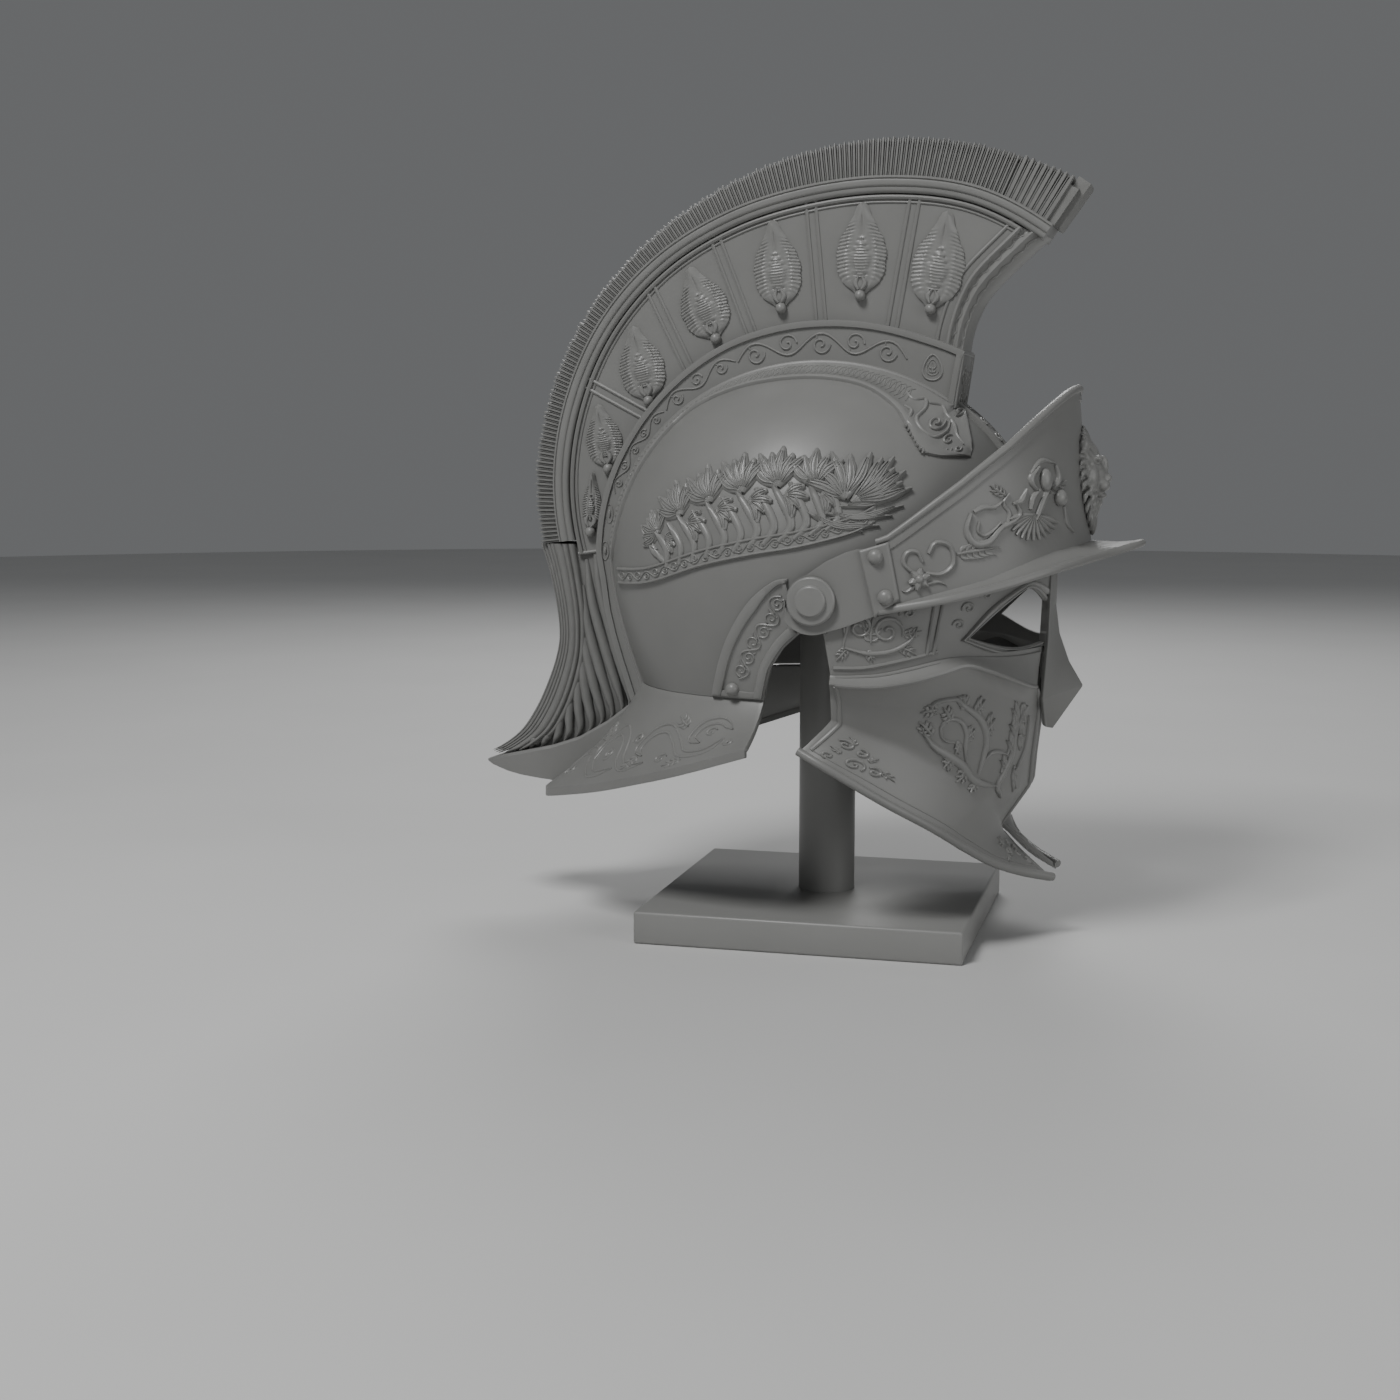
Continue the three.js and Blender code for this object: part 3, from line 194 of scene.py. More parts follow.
def in_edit_mode(piece, operation, **settings):
    """Runs one mesh operation on all of the piece."""
    only(piece)
    bpy.ops.object.mode_set(mode="EDIT")
    bpy.ops.mesh.select_all(action="SELECT")
    operation(**settings)
    bpy.ops.object.mode_set(mode="OBJECT")


def face_outwards(piece):
    in_edit_mode(piece, bpy.ops.mesh.normals_make_consistent, inside=False)


# Wall of each sheet in millimetres; the brow is thin, so that it clears the skull when it is raised.
WALL = {"skull": 3, "neck": 2.6, "box": 1.6, "box_end": 3, "visor": 2.4, "arm": 2.4, "strap": 2.0,
        "brow": 1.7, "lug": 2.4, "nose": 2.6, "cheek": 2.4}


def wall(piece, sheet):
    modify(piece, "SOLIDIFY", thickness=WALL[sheet] * MM, offset=-1, use_rim=True)


def soften(piece, width, over, segments=2):
    """Bevels the edges that turn by more than an angle in degrees."""
    modify(piece, "BEVEL", width=width * MM, segments=segments, limit_method="ANGLE",
           angle_limit=radians(over))


def mesh_piece(name, vertices, faces):
    mesh = bpy.data.meshes.new(name)
    mesh.from_pydata([tuple(point) for point in np.asarray(vertices) * MM], [], faces)
    piece = bpy.data.objects.new(name, mesh)
    bpy.context.scene.collection.objects.link(piece)
    return piece


def loft_faces(rings, sides, start=0, capped=True):
    """Faces of a tube with that many rings and sides, its points counted from start."""
    faces = [(start + r * sides + s, start + r * sides + (s + 1) % sides,
              start + (r + 1) * sides + (s + 1) % sides, start + (r + 1) * sides + s)
             for r in range(rings - 1) for s in range(sides)]
    if capped:
        faces.append(tuple(start + s for s in reversed(range(sides))))
        faces.append(tuple(start + (rings - 1) * sides + s for s in range(sides)))
    return faces


def loft(name, rings):
    rings = np.asarray(rings, float)
    piece = mesh_piece(name, rings.reshape(-1, 3), loft_faces(len(rings), rings.shape[1]))
    face_outwards(piece)
    return piece


def hand_over(piece, slot, *nodes, body=BODY, angle=38):
    """Smooth shading, finish, body and the CAD nodes that the piece stands for."""
    only(piece)
    bpy.ops.object.shade_smooth_by_angle(angle=radians(angle))
    piece.data.materials.clear()
    piece.data.materials.append(FINISH[slot])
    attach(piece, body)
    if nodes:
        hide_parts(*nodes)
    print(piece.name, "faces:", len(piece.data.polygons))
    return piece


def left_copy(piece, name):
    """The mirror image across the middle, with its own mesh and its faces turned out again."""
    copy = piece.copy()
    copy.data = piece.data.copy()
    copy.name = copy.data.name = name
    bpy.context.scene.collection.objects.link(copy)
    mirrored = points_of(copy) * (1, -1, 1)
    copy.data.vertices.foreach_set("co", mirrored.ravel())
    copy.data.flip_normals()
    return copy


def hand_over_pair(piece, slot, *nodes, body=BODY, angle=38):
    """The right-hand piece and its mirror image; the names say right and then left."""
    copy = left_copy(piece, piece.name.replace("right", "left"))
    hand_over(piece, slot, *nodes, body=body, angle=angle)
    hand_over(copy, slot, *[node.replace("right", "left") for node in nodes], body=body, angle=angle)


def joined(name, *pieces):
    bpy.ops.object.select_all(action="DESELECT")
    for piece in pieces:
        piece.select_set(True)
    bpy.context.view_layer.objects.active = pieces[0]
    bpy.ops.object.join()
    pieces[0].name = pieces[0].data.name = name
    return pieces[0]

# %% [markdown]
# ## Lines and surfaces
# A line is a function of a share from 0 to 1 that runs evenly along a smooth curve through a few
# points. The skull, the visor and the face guard are each known by a formula, so a point of the
# side view (x, z) has one place on the right-hand surface.

# %% Lines
def places(*columns):
    """Rows of coordinates from one array for each of them."""
    return np.stack(columns, axis=-1)


def even_line(dense):
    steps = np.linalg.norm(np.diff(dense, axis=0), axis=1)
    along = np.concatenate([[0], np.cumsum(steps)])
    return lambda share: np.stack([np.interp(np.asarray(share) * along[-1], along, column)
                                   for column in dense.T], axis=-1)


def straight_line(points):
    return even_line(np.array(points, float))


def smooth_line(points):
    known = np.array(points, float)
    known = np.vstack([2 * known[0] - known[1], known, 2 * known[-1] - known[-2]])
    t = np.linspace(0, 1, 24, endpoint=False)[:, None]
    parts = [0.5 * (2 * b + (c - a) * t + (2 * a - 5 * b + 4 * c - d) * t**2 + (3 * b - a - 3 * c + d) * t**3)
             for a, b, c, d in zip(known, known[1:], known[2:], known[3:])]
    return even_line(np.vstack([*parts, known[-2:-1]]))


def unit(rows, least=1e-9):
    """The same directions, each made 1 long."""
    return rows / np.maximum(np.linalg.norm(rows, axis=-1, keepdims=True), least)


def closed(right):
    """A closed section: its right half, and the mirror image of that back to the start."""
    return np.vstack([right, right[::-1] * (1, -1, 1)])


def both_sides(right):
    """A right-hand line of (x, y, z) points, continued over the middle to the left."""
    right = np.array(right, float)
    return np.vstack([right, right[-2::-1] * (1, -1, 1)])


def at_angle(degrees):
    return np.cos(np.radians(degrees)), np.sin(np.radians(degrees))

# %% [markdown]
# ## The three shells
# A real helmet's skull, visor and face guard are sheets raised over a form. Here each is an ellipse
# in plan whose size changes with the height, which gives a smooth surface that other pieces can
# follow exactly.

# %% The three shells
SKULL = {"x": -3, "z": 206, "length": 121, "width": 104, "rise": 110, "foot": 137, "taper": 17.5}
VISOR = {"x": 10, "z": 217.5, "length": 134.9, "lean": 0.103, "width": 109}
FACE_X = 10
FACE_PLAN = np.array([
    [20, 76, 66], [60, 91, 81], [85, 106.5, 89], [100, 107, 93], [130, 109.5, 99.5], [150, 111, 103],
    [170, 113.5, 105.5], [200, 114.8, 106], [226, 113, 106],
])  # height, half-length, half-width


def skull_plan(z):
    inset = SKULL["taper"] * np.clip((SKULL["z"] - z) / (SKULL["z"] - SKULL["foot"]), 0, None) ** 1.5
    shrink = np.sqrt(np.clip(1 - (np.clip(z - SKULL["z"], 0, None) / SKULL["rise"]) ** 2, 0, 1))
    ratio = SKULL["width"] / SKULL["length"]
    return (SKULL["length"] - inset) * shrink, (SKULL["width"] - inset * ratio) * shrink


def on_skull(x, z):
    length, width = skull_plan(z)
    share = np.clip((x - SKULL["x"]) / np.maximum(length, 1e-6), -1, 1)
    return places(x, -width * np.sqrt(1 - share**2), z)


def on_crown(y, degrees):
    """A point over the skull's widest level, y off the middle, by its angle up from the front."""
    shrink = np.sqrt(1 - (y / SKULL["width"]) ** 2)
    c, s = at_angle(degrees)
    return places(SKULL["x"] + SKULL["length"] * shrink * c, y + 0 * degrees,
                  SKULL["z"] + SKULL["rise"] * shrink * s)


def visor_length(z):
    return VISOR["length"] - (z - VISOR["z"]) * VISOR["lean"]


def on_visor(x, z):
    """A half-ellipse in plan, with straight sides behind its middle."""
    share = np.clip((x - VISOR["x"]) / np.maximum(visor_length(z), 1e-6), 0, 1)
    return places(x, -VISOR["width"] * np.sqrt(1 - share**2), z)


def face_size(z, grown=0.0):
    return tuple(np.interp(z, FACE_PLAN[:, 0], FACE_PLAN[:, k]) + grown for k in (1, 2))


def on_face(angle, z, grown=0.0):
    """The right side of the face guard at a plan angle, 0 in front and 90 at the temple."""
    length, width = face_size(z, grown)
    c, s = at_angle(angle)
    return places(FACE_X + length * c, -width * s, z + 0 * angle)


def face_angle(x, z, least=0):
    return np.degrees(np.arccos(np.clip((x - FACE_X) / face_size(z)[0], least, 1)))


def on_face_side(x, z):
    """The face guard by side view; its curve goes on a little behind the shell's middle."""
    return on_face(face_angle(x, z, -0.6), z)

# %% [markdown]
# ## Strokes of carving
# Cast ornament is made of strokes: stems, scrolls, veins and leaf blades that swell and thin out
# again. A curve with a round bevel would stand up like wire, so a stroke is its own small tube. Its
# section is an oval that lies on the surface below it, wider than it is high and partly sunk in.
# Rows of strokes are gathered and become one mesh.

# %% Strokes
SECTION = np.linspace(0, 2 * pi, 8, endpoint=False)


def surface_normals(surface, a, b, out, step=1e-3):
    across = surface(a + step, b) - surface(a - step, b)
    upward = surface(a, b + step) - surface(a, b - step)
    normals = unit(np.cross(across, upward), 1e-12)
    return normals * np.sign(normals @ np.array(out, float) + 1e-9)[:, None]


def spiral(centre, radius, start, turns, inner=0.12, points=26):
    """(a, b) points that wind in from a radius; turns below zero wind clockwise."""
    share = np.linspace(0, 1, points)
    angle = radians(start) + share * turns * 2 * pi
    reach = radius * (1 - (1 - inner) * share)
    return places(centre[0] + reach * np.cos(angle), centre[1] + reach * np.sin(angle))


STROKE_DENSITY = 0.64  # keeps the whole scene under a million triangles
OUT = (0, -1, 0)  # away from the helmet on its right side


class Carving:
    """Strokes and beads that lie on surfaces, gathered into one mesh."""

    def __init__(self):
        self.points, self.faces, self.count = [], [], 0

    def take(self, points, faces):
        self.points.append(points)
        self.faces.extend(faces)
        self.count += len(points)

    def stroke(self, surface, path, width, height=None, sink=0.3, out=OUT, steps=24, square=1.0,
               smooth=True, lift=0.0):
        """path holds (a, b) places on the surface; width and height are half-sizes, or rows of them."""
        line = (smooth_line if smooth else straight_line)(path)
        steps = max(5, round(steps * STROKE_DENSITY))
        share = np.linspace(0, 1, steps)
        a, b = line(share).T
        base = surface(a, b)
        normals = surface_normals(surface, a, b, out)
        ahead = unit(np.gradient(base, axis=0))
        side = np.cross(ahead, normals)
        width = np.interp(share, np.linspace(0, 1, np.size(width)), np.atleast_1d(width))
        height = width * 0.8 if height is None else np.interp(
            share, np.linspace(0, 1, np.size(height)), np.atleast_1d(height))
        c, s = (np.sign(f(SECTION)) * np.abs(f(SECTION)) ** square for f in (np.cos, np.sin))
        rings = (base[:, None] + side[:, None] * (width[:, None] * c)[..., None]
                 + normals[:, None] * (height[:, None] * s + lift - sink)[..., None])
        self.take(rings.reshape(-1, 3), loft_faces(steps, len(SECTION), self.count))

    def tube(self, centres, radius, sides=8, square=1.0, flat=1.0, across=(0, 1, 0)):
        """A free tube along (x, y, z) points; flat stretches its section in the direction across."""
        centres = np.asarray(centres, float)
        ahead = unit(np.gradient(centres, axis=0))
        side = unit(np.cross(ahead, across))
        other = np.cross(side, ahead)
        turn = np.linspace(0, 2 * pi, sides, endpoint=False)
        c, s = (np.sign(f(turn)) * np.abs(f(turn)) ** square for f in (np.cos, np.sin))
        radius = np.interp(np.linspace(0, 1, len(centres)), np.linspace(0, 1, np.size(radius)),
                           np.atleast_1d(radius))
        rings = (centres[:, None] + side[:, None] * (radius[:, None] * c)[..., None]
                 + other[:, None] * (radius[:, None] * flat * s)[..., None])
        self.take(rings.reshape(-1, 3), loft_faces(len(centres), sides, self.count))

    def bead(self, surface, a, b, radii, out=OUT, lift=0.0, turns=12, rings=8):
        """A stretched ball: its half-sizes along the surface, up it, and out of it."""
        at = np.array([float(a)]), np.array([float(b)])
        centre = surface(*at)[0]
        normal = surface_normals(surface, *at, out)[0]
        along = np.cross((0, 0, 1), normal)
        along /= max(np.linalg.norm(along), 1e-9)
        up = np.cross(normal, along)
        tilt = np.linspace(-pi / 2 + 0.05, pi / 2 - 0.05, rings)
        turn = np.linspace(0, 2 * pi, turns, endpoint=False)
        points = (centre + normal * lift
                  + np.cos(tilt)[:, None, None] * (np.cos(turn)[:, None] * along * radii[0]
                                                   + np.sin(turn)[:, None] * up * radii[1])[None]
                  + (np.sin(tilt)[:, None] * normal * radii[2])[:, None])
        self.take(points.reshape(-1, 3), loft_faces(rings, turns, self.count))

    def rows(self, surface, rows, out=OUT):
        """Strokes whose rows hold a path, its half-widths and its height."""
        for path, widths, height in rows:
            self.stroke(surface, path, widths, height, out=out, steps=10 + 3 * len(path))

    def curls(self, surface, rows, widths, height, out=OUT, steps=40, points=26):
        """Spirals whose rows hold a centre, a radius, a start angle and a number of turns."""
        for a, b, radius, start, turns in rows:
            self.stroke(surface, spiral((a, b), radius, start, turns, points=points), widths, height, out=out,
                        steps=steps)

    def leaves(self, surface, pairs, spread, width, height, lobes=4, out=OUT):
        """Acanthus leaves from root to tip: a midrib and pairs of side lobes that lean to the tip."""
        for root, tip in np.array(pairs, float):
            ahead = tip - root
            across = np.array((-ahead[1], ahead[0])) * spread
            self.stroke(surface, [root, (root + tip) / 2 + across * 0.08, tip],
                        [width * 0.7, width, width * 0.2], height, out=out, steps=20)
            for number in range(lobes):
                share = 0.08 + 0.72 * number / lobes
                size = 1 - 0.45 * abs(share - 0.3) / 0.6
                for side in (-1, 1):
                    start = root + ahead * share
                    end = start + ahead * 0.24 + across * side * size
                    bend = start + ahead * 0.04 + across * side * size * 0.62
                    self.stroke(surface, [start, bend, end], [width * 0.5, width * 1.05, width * 0.2],
                                height * 0.85, out=out, steps=11)

    def piece(self, name):
        made = mesh_piece(name, np.vstack(self.points), self.faces)
        face_outwards(made)
        return made


# %% [markdown]
# ## Stand
# The stand is a plain block with a small bevel and a turned post. The block starts as a primitive
# and gets a Bevel modifier; the post is a loft of round rings whose upper end widens into the round
# pad that carries the crown, which the helmet hides.

# %% Stand
STAND = {"length": 180, "width": 175, "height": 18, "bevel": 1.5, "post": 16, "pad": 34, "pad_z": 262}
bpy.ops.mesh.primitive_cube_add(size=1, location=(0, 0, STAND["height"] / 2 * MM),
                                scale=(STAND["length"] * MM, STAND["width"] * MM, STAND["height"] * MM))
base = bpy.context.object
bpy.ops.object.transform_apply(location=True, scale=True)
base.name = "stand_block"
modify(base, "BEVEL", width=STAND["bevel"] * MM, segments=3)
hand_over(base, "stand_paint", "stand_base")

PAD_CLEAR = 3.3  # the skull's wall and a small gap
post_top = SKULL["z"] + SKULL["rise"] - PAD_CLEAR
pad_z = np.linspace(STAND["pad_z"], post_top - 0.6, 12)
pad_length, pad_width = (half - PAD_CLEAR for half in skull_plan(pad_z))
turn = np.radians(np.arange(0, 360, 5))
rings = [[(STAND["post"] * cos(t), STAND["post"] * sin(t), z) for t in turn]
         for z in (STAND["height"], STAND["height"] + 0.8, STAND["pad_z"] - 1, STAND["pad_z"])]
for z, length, width in zip(pad_z, pad_length, pad_width):
    reach = [min(STAND["pad"], 1 / hypot(cos(t) / max(length, 1), sin(t) / max(width, 1)))
             for t in turn]
    rings.append([(r * cos(t), r * sin(t), z) for r, t in zip(reach, turn)])
post = loft("stand_column", rings)
hand_over(post, "stand_paint", "stand_post")

# %% [markdown]
# ## Skull
# The skull was raised from one sheet: an egg above, drawn in a little towards the nape, with an open
# face and a cut-out at each ear. A sphere cut by a boolean would leave ragged edges, so the grid's
# lowest row follows the opening itself: each column starts at the height of the opening's edge.

# %% Skull shell
EAR_CUT = [(-17.1, 137), (-15.3, 144.4), (-12, 154.7), (-4.2, 166.1), (4.4, 173.7)]
LUG = [(16, 175), (26, 181), (33, 192), (38, 203)]
BROW_CUT = [(50, 211), (118, 211)]
opening = straight_line([*EAR_CUT, *LUG, *BROW_CUT])(np.linspace(0, 1, 90))
opening_turn = np.arccos(np.clip((opening[:, 0] - SKULL["x"]) / skull_plan(opening[:, 1])[0], -1, 1))
order = np.argsort(opening_turn)
half_turn = np.unique(np.concatenate([np.linspace(0, pi, 90), opening_turn]))
columns = np.concatenate([half_turn, 2 * pi - half_turn[-2::-1]])
column_share = np.linspace(0, 1, len(columns))


def skull_place(u, v):
    turn = np.interp(u, column_share, columns)
    right = np.where(turn > pi, 2 * pi - turn, turn)
    foot = np.interp(right, opening_turn[order], opening[order, 1], right=SKULL["foot"])
    low = SKULL["z"] - SKULL["foot"]
    start = np.where(foot < SKULL["z"], (foot - SKULL["z"]) / low,
                     np.arcsin(np.clip((foot - SKULL["z"]) / SKULL["rise"], 0, 1)) / (pi / 2))
    level = start + (1 - start) * v
    z = SKULL["z"] + np.where(level < 0, low * level, SKULL["rise"] * np.sin(level * pi / 2))
    length, width = skull_plan(z)
    return places(SKULL["x"] + length * np.cos(turn), -width * np.sin(turn), z)


skull = bent_grid("skull_shell", skull_place, len(columns) - 1, 42)
in_edit_mode(skull, bpy.ops.mesh.remove_doubles, threshold=0.02 * MM)
wall(skull, "skull")
hand_over(skull, "helmet_metal", "dome")

# %% [markdown]
# ## Neck guard
# The guard flares out from the foot of the skull. Its edge line comes from the solids; between skull
# and edge the sheet sags a little, and past the edge it turns straight down as a flat hem.

# %% Neck guard
NECK_EDGE = smooth_line(both_sides([
    (-21, -115, 114.6), (-58.6, -104.5, 102.2), (-88, -91, 93.4), (-115.3, -76, 85.7), (-147, -53, 78.2),
    (-155, -44, 76.7), (-160, -24, 75.4), (-161.5, 0, 75.2),
]))
NECK_SPAN = (97.8, 262.2)  # plan angles of its two ends
NECK_SAG = 9
NECK_HEM = 4.6
HEM_START = 0.86  # share of the rows where the hem begins


def neck_place(u, v):
    c, s = at_angle(NECK_SPAN[0] + (NECK_SPAN[1] - NECK_SPAN[0]) * u)
    length, width = skull_plan(np.array([137.0]))
    foot = places(SKULL["x"] + length * c, -width * s, np.full_like(u, 136.7))
    edge = NECK_EDGE(u)
    share = np.clip(v, 0, 1)
    place = foot + (edge - foot) * share[:, None]
    rearness = 1 - np.abs(u - 0.5) * 1.4
    place[:, 2] -= NECK_SAG * rearness * np.sin(pi * share**0.8)
    return place


def neck_with_hem(u, v):
    hem = np.clip((v - HEM_START) / (1 - HEM_START), 0, 1)
    place = neck_place(u, np.clip(v / HEM_START, 0, 1))
    place[:, 2] -= NECK_HEM * hem - 1.2 * np.clip(1 - v / HEM_START, -1, 0)
    return place


neck = bent_grid("neck_guard_sheet", neck_with_hem, 120, 28, inside=(0, 0, -300))
wall(neck, "neck")
soften(neck, 0.5, 50)
hand_over(neck, "helmet_metal", "neck_guard")

# %% [markdown]
# ## Crest lines
# Every line of the crest is a distance from one centre at each angle. The same table as in the
# solids gives the bristle tips, the rail under them and the rim of the box along the crown.

# %% Crest lines
CREST_X, CREST_Z = 20, 235
CREST = np.array([
    (50, 212, 182, 106), (56, 210, 182.3, 103.3), (70, 205.5, 183.2, 100.2), (85, 201.3, 180, 101.1),
    (100, 197.1, 178.4, 104.5), (115, 194.2, 180, 110.4), (130, 193.2, 182.4, 118.2), (145, 193.3, 183, 126),
    (160, 192.5, 181.4, 134.8), (175, 191.2, 179, 144.2), (190, 187.4, 175, 152.2),
])  # angle, then the radius of the bristle tips, of the rail and of the box rim
dense_angle = np.linspace(50, 190, 281)
DENSE = {}
for column, name in ((1, "tips"), (2, "rail"), (3, "rim")):
    dense_line = smooth_line(CREST[:, [0, column]])(np.linspace(0, 1, 600))
    DENSE[name] = np.interp(dense_angle, dense_line[:, 0], dense_line[:, 1])


def crest_radius(name, angle):
    return np.interp(angle, dense_angle, DENSE[name])


def crest_place(angle, radius, y):
    c, s = at_angle(angle)
    return places(CREST_X + radius * c, y + 0 * angle, CREST_Z + radius * s)


def crest_line(name, start, end, offset=0.0, steps=160):
    angle = np.linspace(start, end, steps)
    return crest_place(angle, crest_radius(name, angle) + offset, 0.0)[:, [0, 2]]


RAIL_WIDTH = 9.5
UNDER_RAIL = -RAIL_WIDTH - 0.6
PANEL_HALF, BOX_HALF, RIM_HALF = 15, 21.5, 23
PANEL_REAR = 189.4
print("crest reaches", round(float(DENSE["tips"].max())), "mm from its centre")

# %% [markdown]
# ## Box along the crown
# The crest stands on a low box whose foot follows the skull. Its section is an upturned U: up one
# side, over the top and down the other. The rim is a flat bar along its upper edge.

# %% Crown box
REAR_RIM = [(-127, 194), (-125, 178), (-121.5, 163), (-117, 148), (-111, 130), (-109, 124.5)]
box_rim = even_line(np.vstack([[(77, 321)], crest_line("rim", 62, PANEL_REAR), REAR_RIM]))
upper_foot = on_crown(BOX_HALF, np.linspace(51, 180, 90))[:, [0, 2]]
lower_z = np.linspace(200, 137, 12)
lower_x = SKULL["x"] - skull_plan(lower_z)[0] * np.sqrt(1 - (BOX_HALF / skull_plan(lower_z)[1]) ** 2)
box_foot = even_line(np.vstack([upper_foot, places(lower_x, lower_z), [(-103, 124.5)]]))


def box_side(u, v):
    """The right side of the box: u along it from the front, v from the foot up to the rim."""
    place = box_foot(u) + (box_rim(u) - box_foot(u)) * v[:, None]
    return places(place[:, 0], np.full_like(u, -BOX_HALF), place[:, 1])


SIDE_ROWS, TOP_ROWS = 0.84, 0.08  # share of the rows on the sides, and on each half of the top


def box_place(u, v):
    side = np.clip(1 - np.abs(v - 0.5) / 0.5, 0, SIDE_ROWS) / SIDE_ROWS
    place = box_side(u, side)
    place[:, 1] *= np.clip(-(v - 0.5) / TOP_ROWS, -1, 1)
    return place


box = bent_grid("crown_box", box_place, 150, 34, inside=(0, 0, 206))
wall(box, "box")

end_corners = np.array([(77.0, 321.0), (72.4, 289.0)])


def box_end(u, v):
    x, z = (end_corners[0] + (end_corners[1] - end_corners[0]) * v[:, None]).T
    swell = 1.6 * np.sqrt(np.clip(1 - (2 * u - 1) ** 4, 0, 1))
    return places(x + swell - 1.2, (u - 0.5) * 2 * RIM_HALF, z)


front_end = bent_grid("box_end", box_end, 40, 24)
wall(front_end, "box_end")
RIM_WIDTH = 3.7
trims = Carving()
share = np.linspace(0, 1, 200)
for y in (-1, 1):
    def surface(u, v, y=y):
        return box_side(u, v) * (1, -y, 1)
    out = (0, y, 0)
    trims.stroke(surface, [(s, 1 - 0.075) for s in share], RIM_WIDTH / 2, 1.5, sink=0, out=out, steps=200,
                 square=0.4, smooth=False)
    trims.stroke(surface, [(s, 0.06) for s in share], 1.5, 1.3, sink=0, out=out, steps=200, smooth=False)
    trims.stroke(surface, [(0.006, s) for s in np.linspace(0.02, 0.95, 8)], RIM_WIDTH / 2, 1.5, sink=0,
                 out=out, square=0.4, smooth=False)
box = joined("crown_box", box, front_end, trims.piece("box_trims"))

# %% [markdown]
# ## Crest panel
# Between box and rail stands the flat panel that carries the leaves. It is one closed loft: each
# ring goes up the right face and comes back down the left. A rounded moulding runs along its top and
# double bars part it into fields.

# %% Crest panel
FRONT_BACK = [(108, 390), (99, 381), (81, 363), (73, 349), (68, 334), (65, 318)]
FRONT_FACE = [(125.6, 384), (112.6, 374), (90.8, 353), (82.6, 340), (78.3, 326), (77, 310)]
back_polar = [(hypot(x - CREST_X, z - CREST_Z), np.degrees(atan2(z - CREST_Z, x - CREST_X)))
              for x, z in smooth_line(FRONT_BACK)(np.linspace(0, 1, 40))]
back_radius, back_angle = np.array(sorted(back_polar)).T


def panel_place(u, v):
    """u from the front to the rear, v from the box up to the rail, on the right face."""
    start = 62.0
    for _ in range(4):
        angle = start + (PANEL_REAR - start) * u
        low, high = crest_radius("rim", angle) - 2, crest_radius("rail", angle) + UNDER_RAIL
        radius = low + (high - low) * v
        start = np.interp(radius, back_radius, back_angle)
    return crest_place(angle, radius, -PANEL_HALF)


panel_heights = np.linspace(0, 1, 10)
panel = loft("crest_panel_sheet", [closed(panel_place(np.full(10, u), panel_heights))
                                   for u in np.linspace(0, 1, 120)])
PANEL_BARS = [(48, 401, 36.5, 333), (-9, 402, -2.5, 336), (-62.5, 383, -40, 327), (-100, 357, -76, 309),
              (-139, 306, -99, 285), (-143.5, 208.5, -133, 210)]
BAR_APART, BAR_HALF = 2.6, 1.1


def flat(half):
    return lambda x, z: places(x, np.full_like(x, -half), z)


panel_face = flat(PANEL_HALF)
trims = Carving()
for top_x, top_z, foot_x, foot_z in PANEL_BARS:
    ahead = np.array([top_x - foot_x, top_z - foot_z], float)
    across = np.array([-ahead[1], ahead[0]]) / np.hypot(*ahead)
    reach = [np.array([foot_x, foot_z]) - ahead * 0.12, np.array([top_x, top_z]) + ahead * 0.02]
    for shift in (-BAR_APART, BAR_APART) if top_x > -143 else (0,):
        ends = [end + across * shift for end in reach]
        trims.stroke(panel_face, ends, BAR_HALF, 1.2, sink=0.1, steps=4, smooth=False)
for offset, half, height in ((UNDER_RAIL - 1.2, 1.5, 2.0), (UNDER_RAIL - 3.9, 0.7, 0.9)):
    trims.stroke(panel_face, crest_line("rail", 60, PANEL_REAR, offset), half, height, sink=0.1, steps=160,
                 smooth=False)
inner_front = smooth_line(FRONT_BACK)(np.linspace(0.03, 1, 30))
trims.stroke(panel_face, inner_front + (-5.0, 1.2), 1.0, 1.1, sink=0.1, steps=40)
bars = trims.piece("panel_bars")
panel = joined("crest_panel_sheet", panel, bars, left_copy(bars, "panel_bars_left"))
hand_over(panel, "helmet_metal", "crest_panel")

# %% [markdown]
# ## Rail
# The rail is one rolled section swept round the crest: a thin bead under the bristles, a fine
# groove, a broad band, a second groove and a lip that hangs over the panel and shades it.

# %% Rail
RAIL_FRONT, RAIL_REAR = 56, 186.5
RAIL_SECTION = [  # offset from the bristle side inwards, half-width
    (0, 16.4), (-0.15, 17.8), (-0.7, 18.7), (-1.4, 18.7), (-1.75, 18.0), (-2.05, 18.0), (-2.4, 18.8),
    (-3.2, 19.0), (-4.6, 18.7), (-5.6, 18.4), (-6.0, 17.6), (-6.3, 17.6), (-6.7, 18.3), (-7.8, 18.2),
    (-8.9, 17.6), (-9.4, 16.6), (-9.5, 15.2),
]


def rail_ring(angle):
    offset, half = np.array(RAIL_SECTION).T
    radius = crest_radius("rail", angle) + offset
    return closed(crest_place(np.full(len(radius), angle), radius, -half))


rail = loft("crest_rail_bar", [rail_ring(angle) for angle in np.linspace(RAIL_FRONT, RAIL_REAR, 190)])
hand_over(rail, "trim_metal", "crest_rail", angle=50)

# %% [markdown]
# ## Crest front
# The front of the crest is a nose of three mouldings with hollows between them. In plan it is round,
# so each ring goes from the panel forward to the nose and back on the other side.

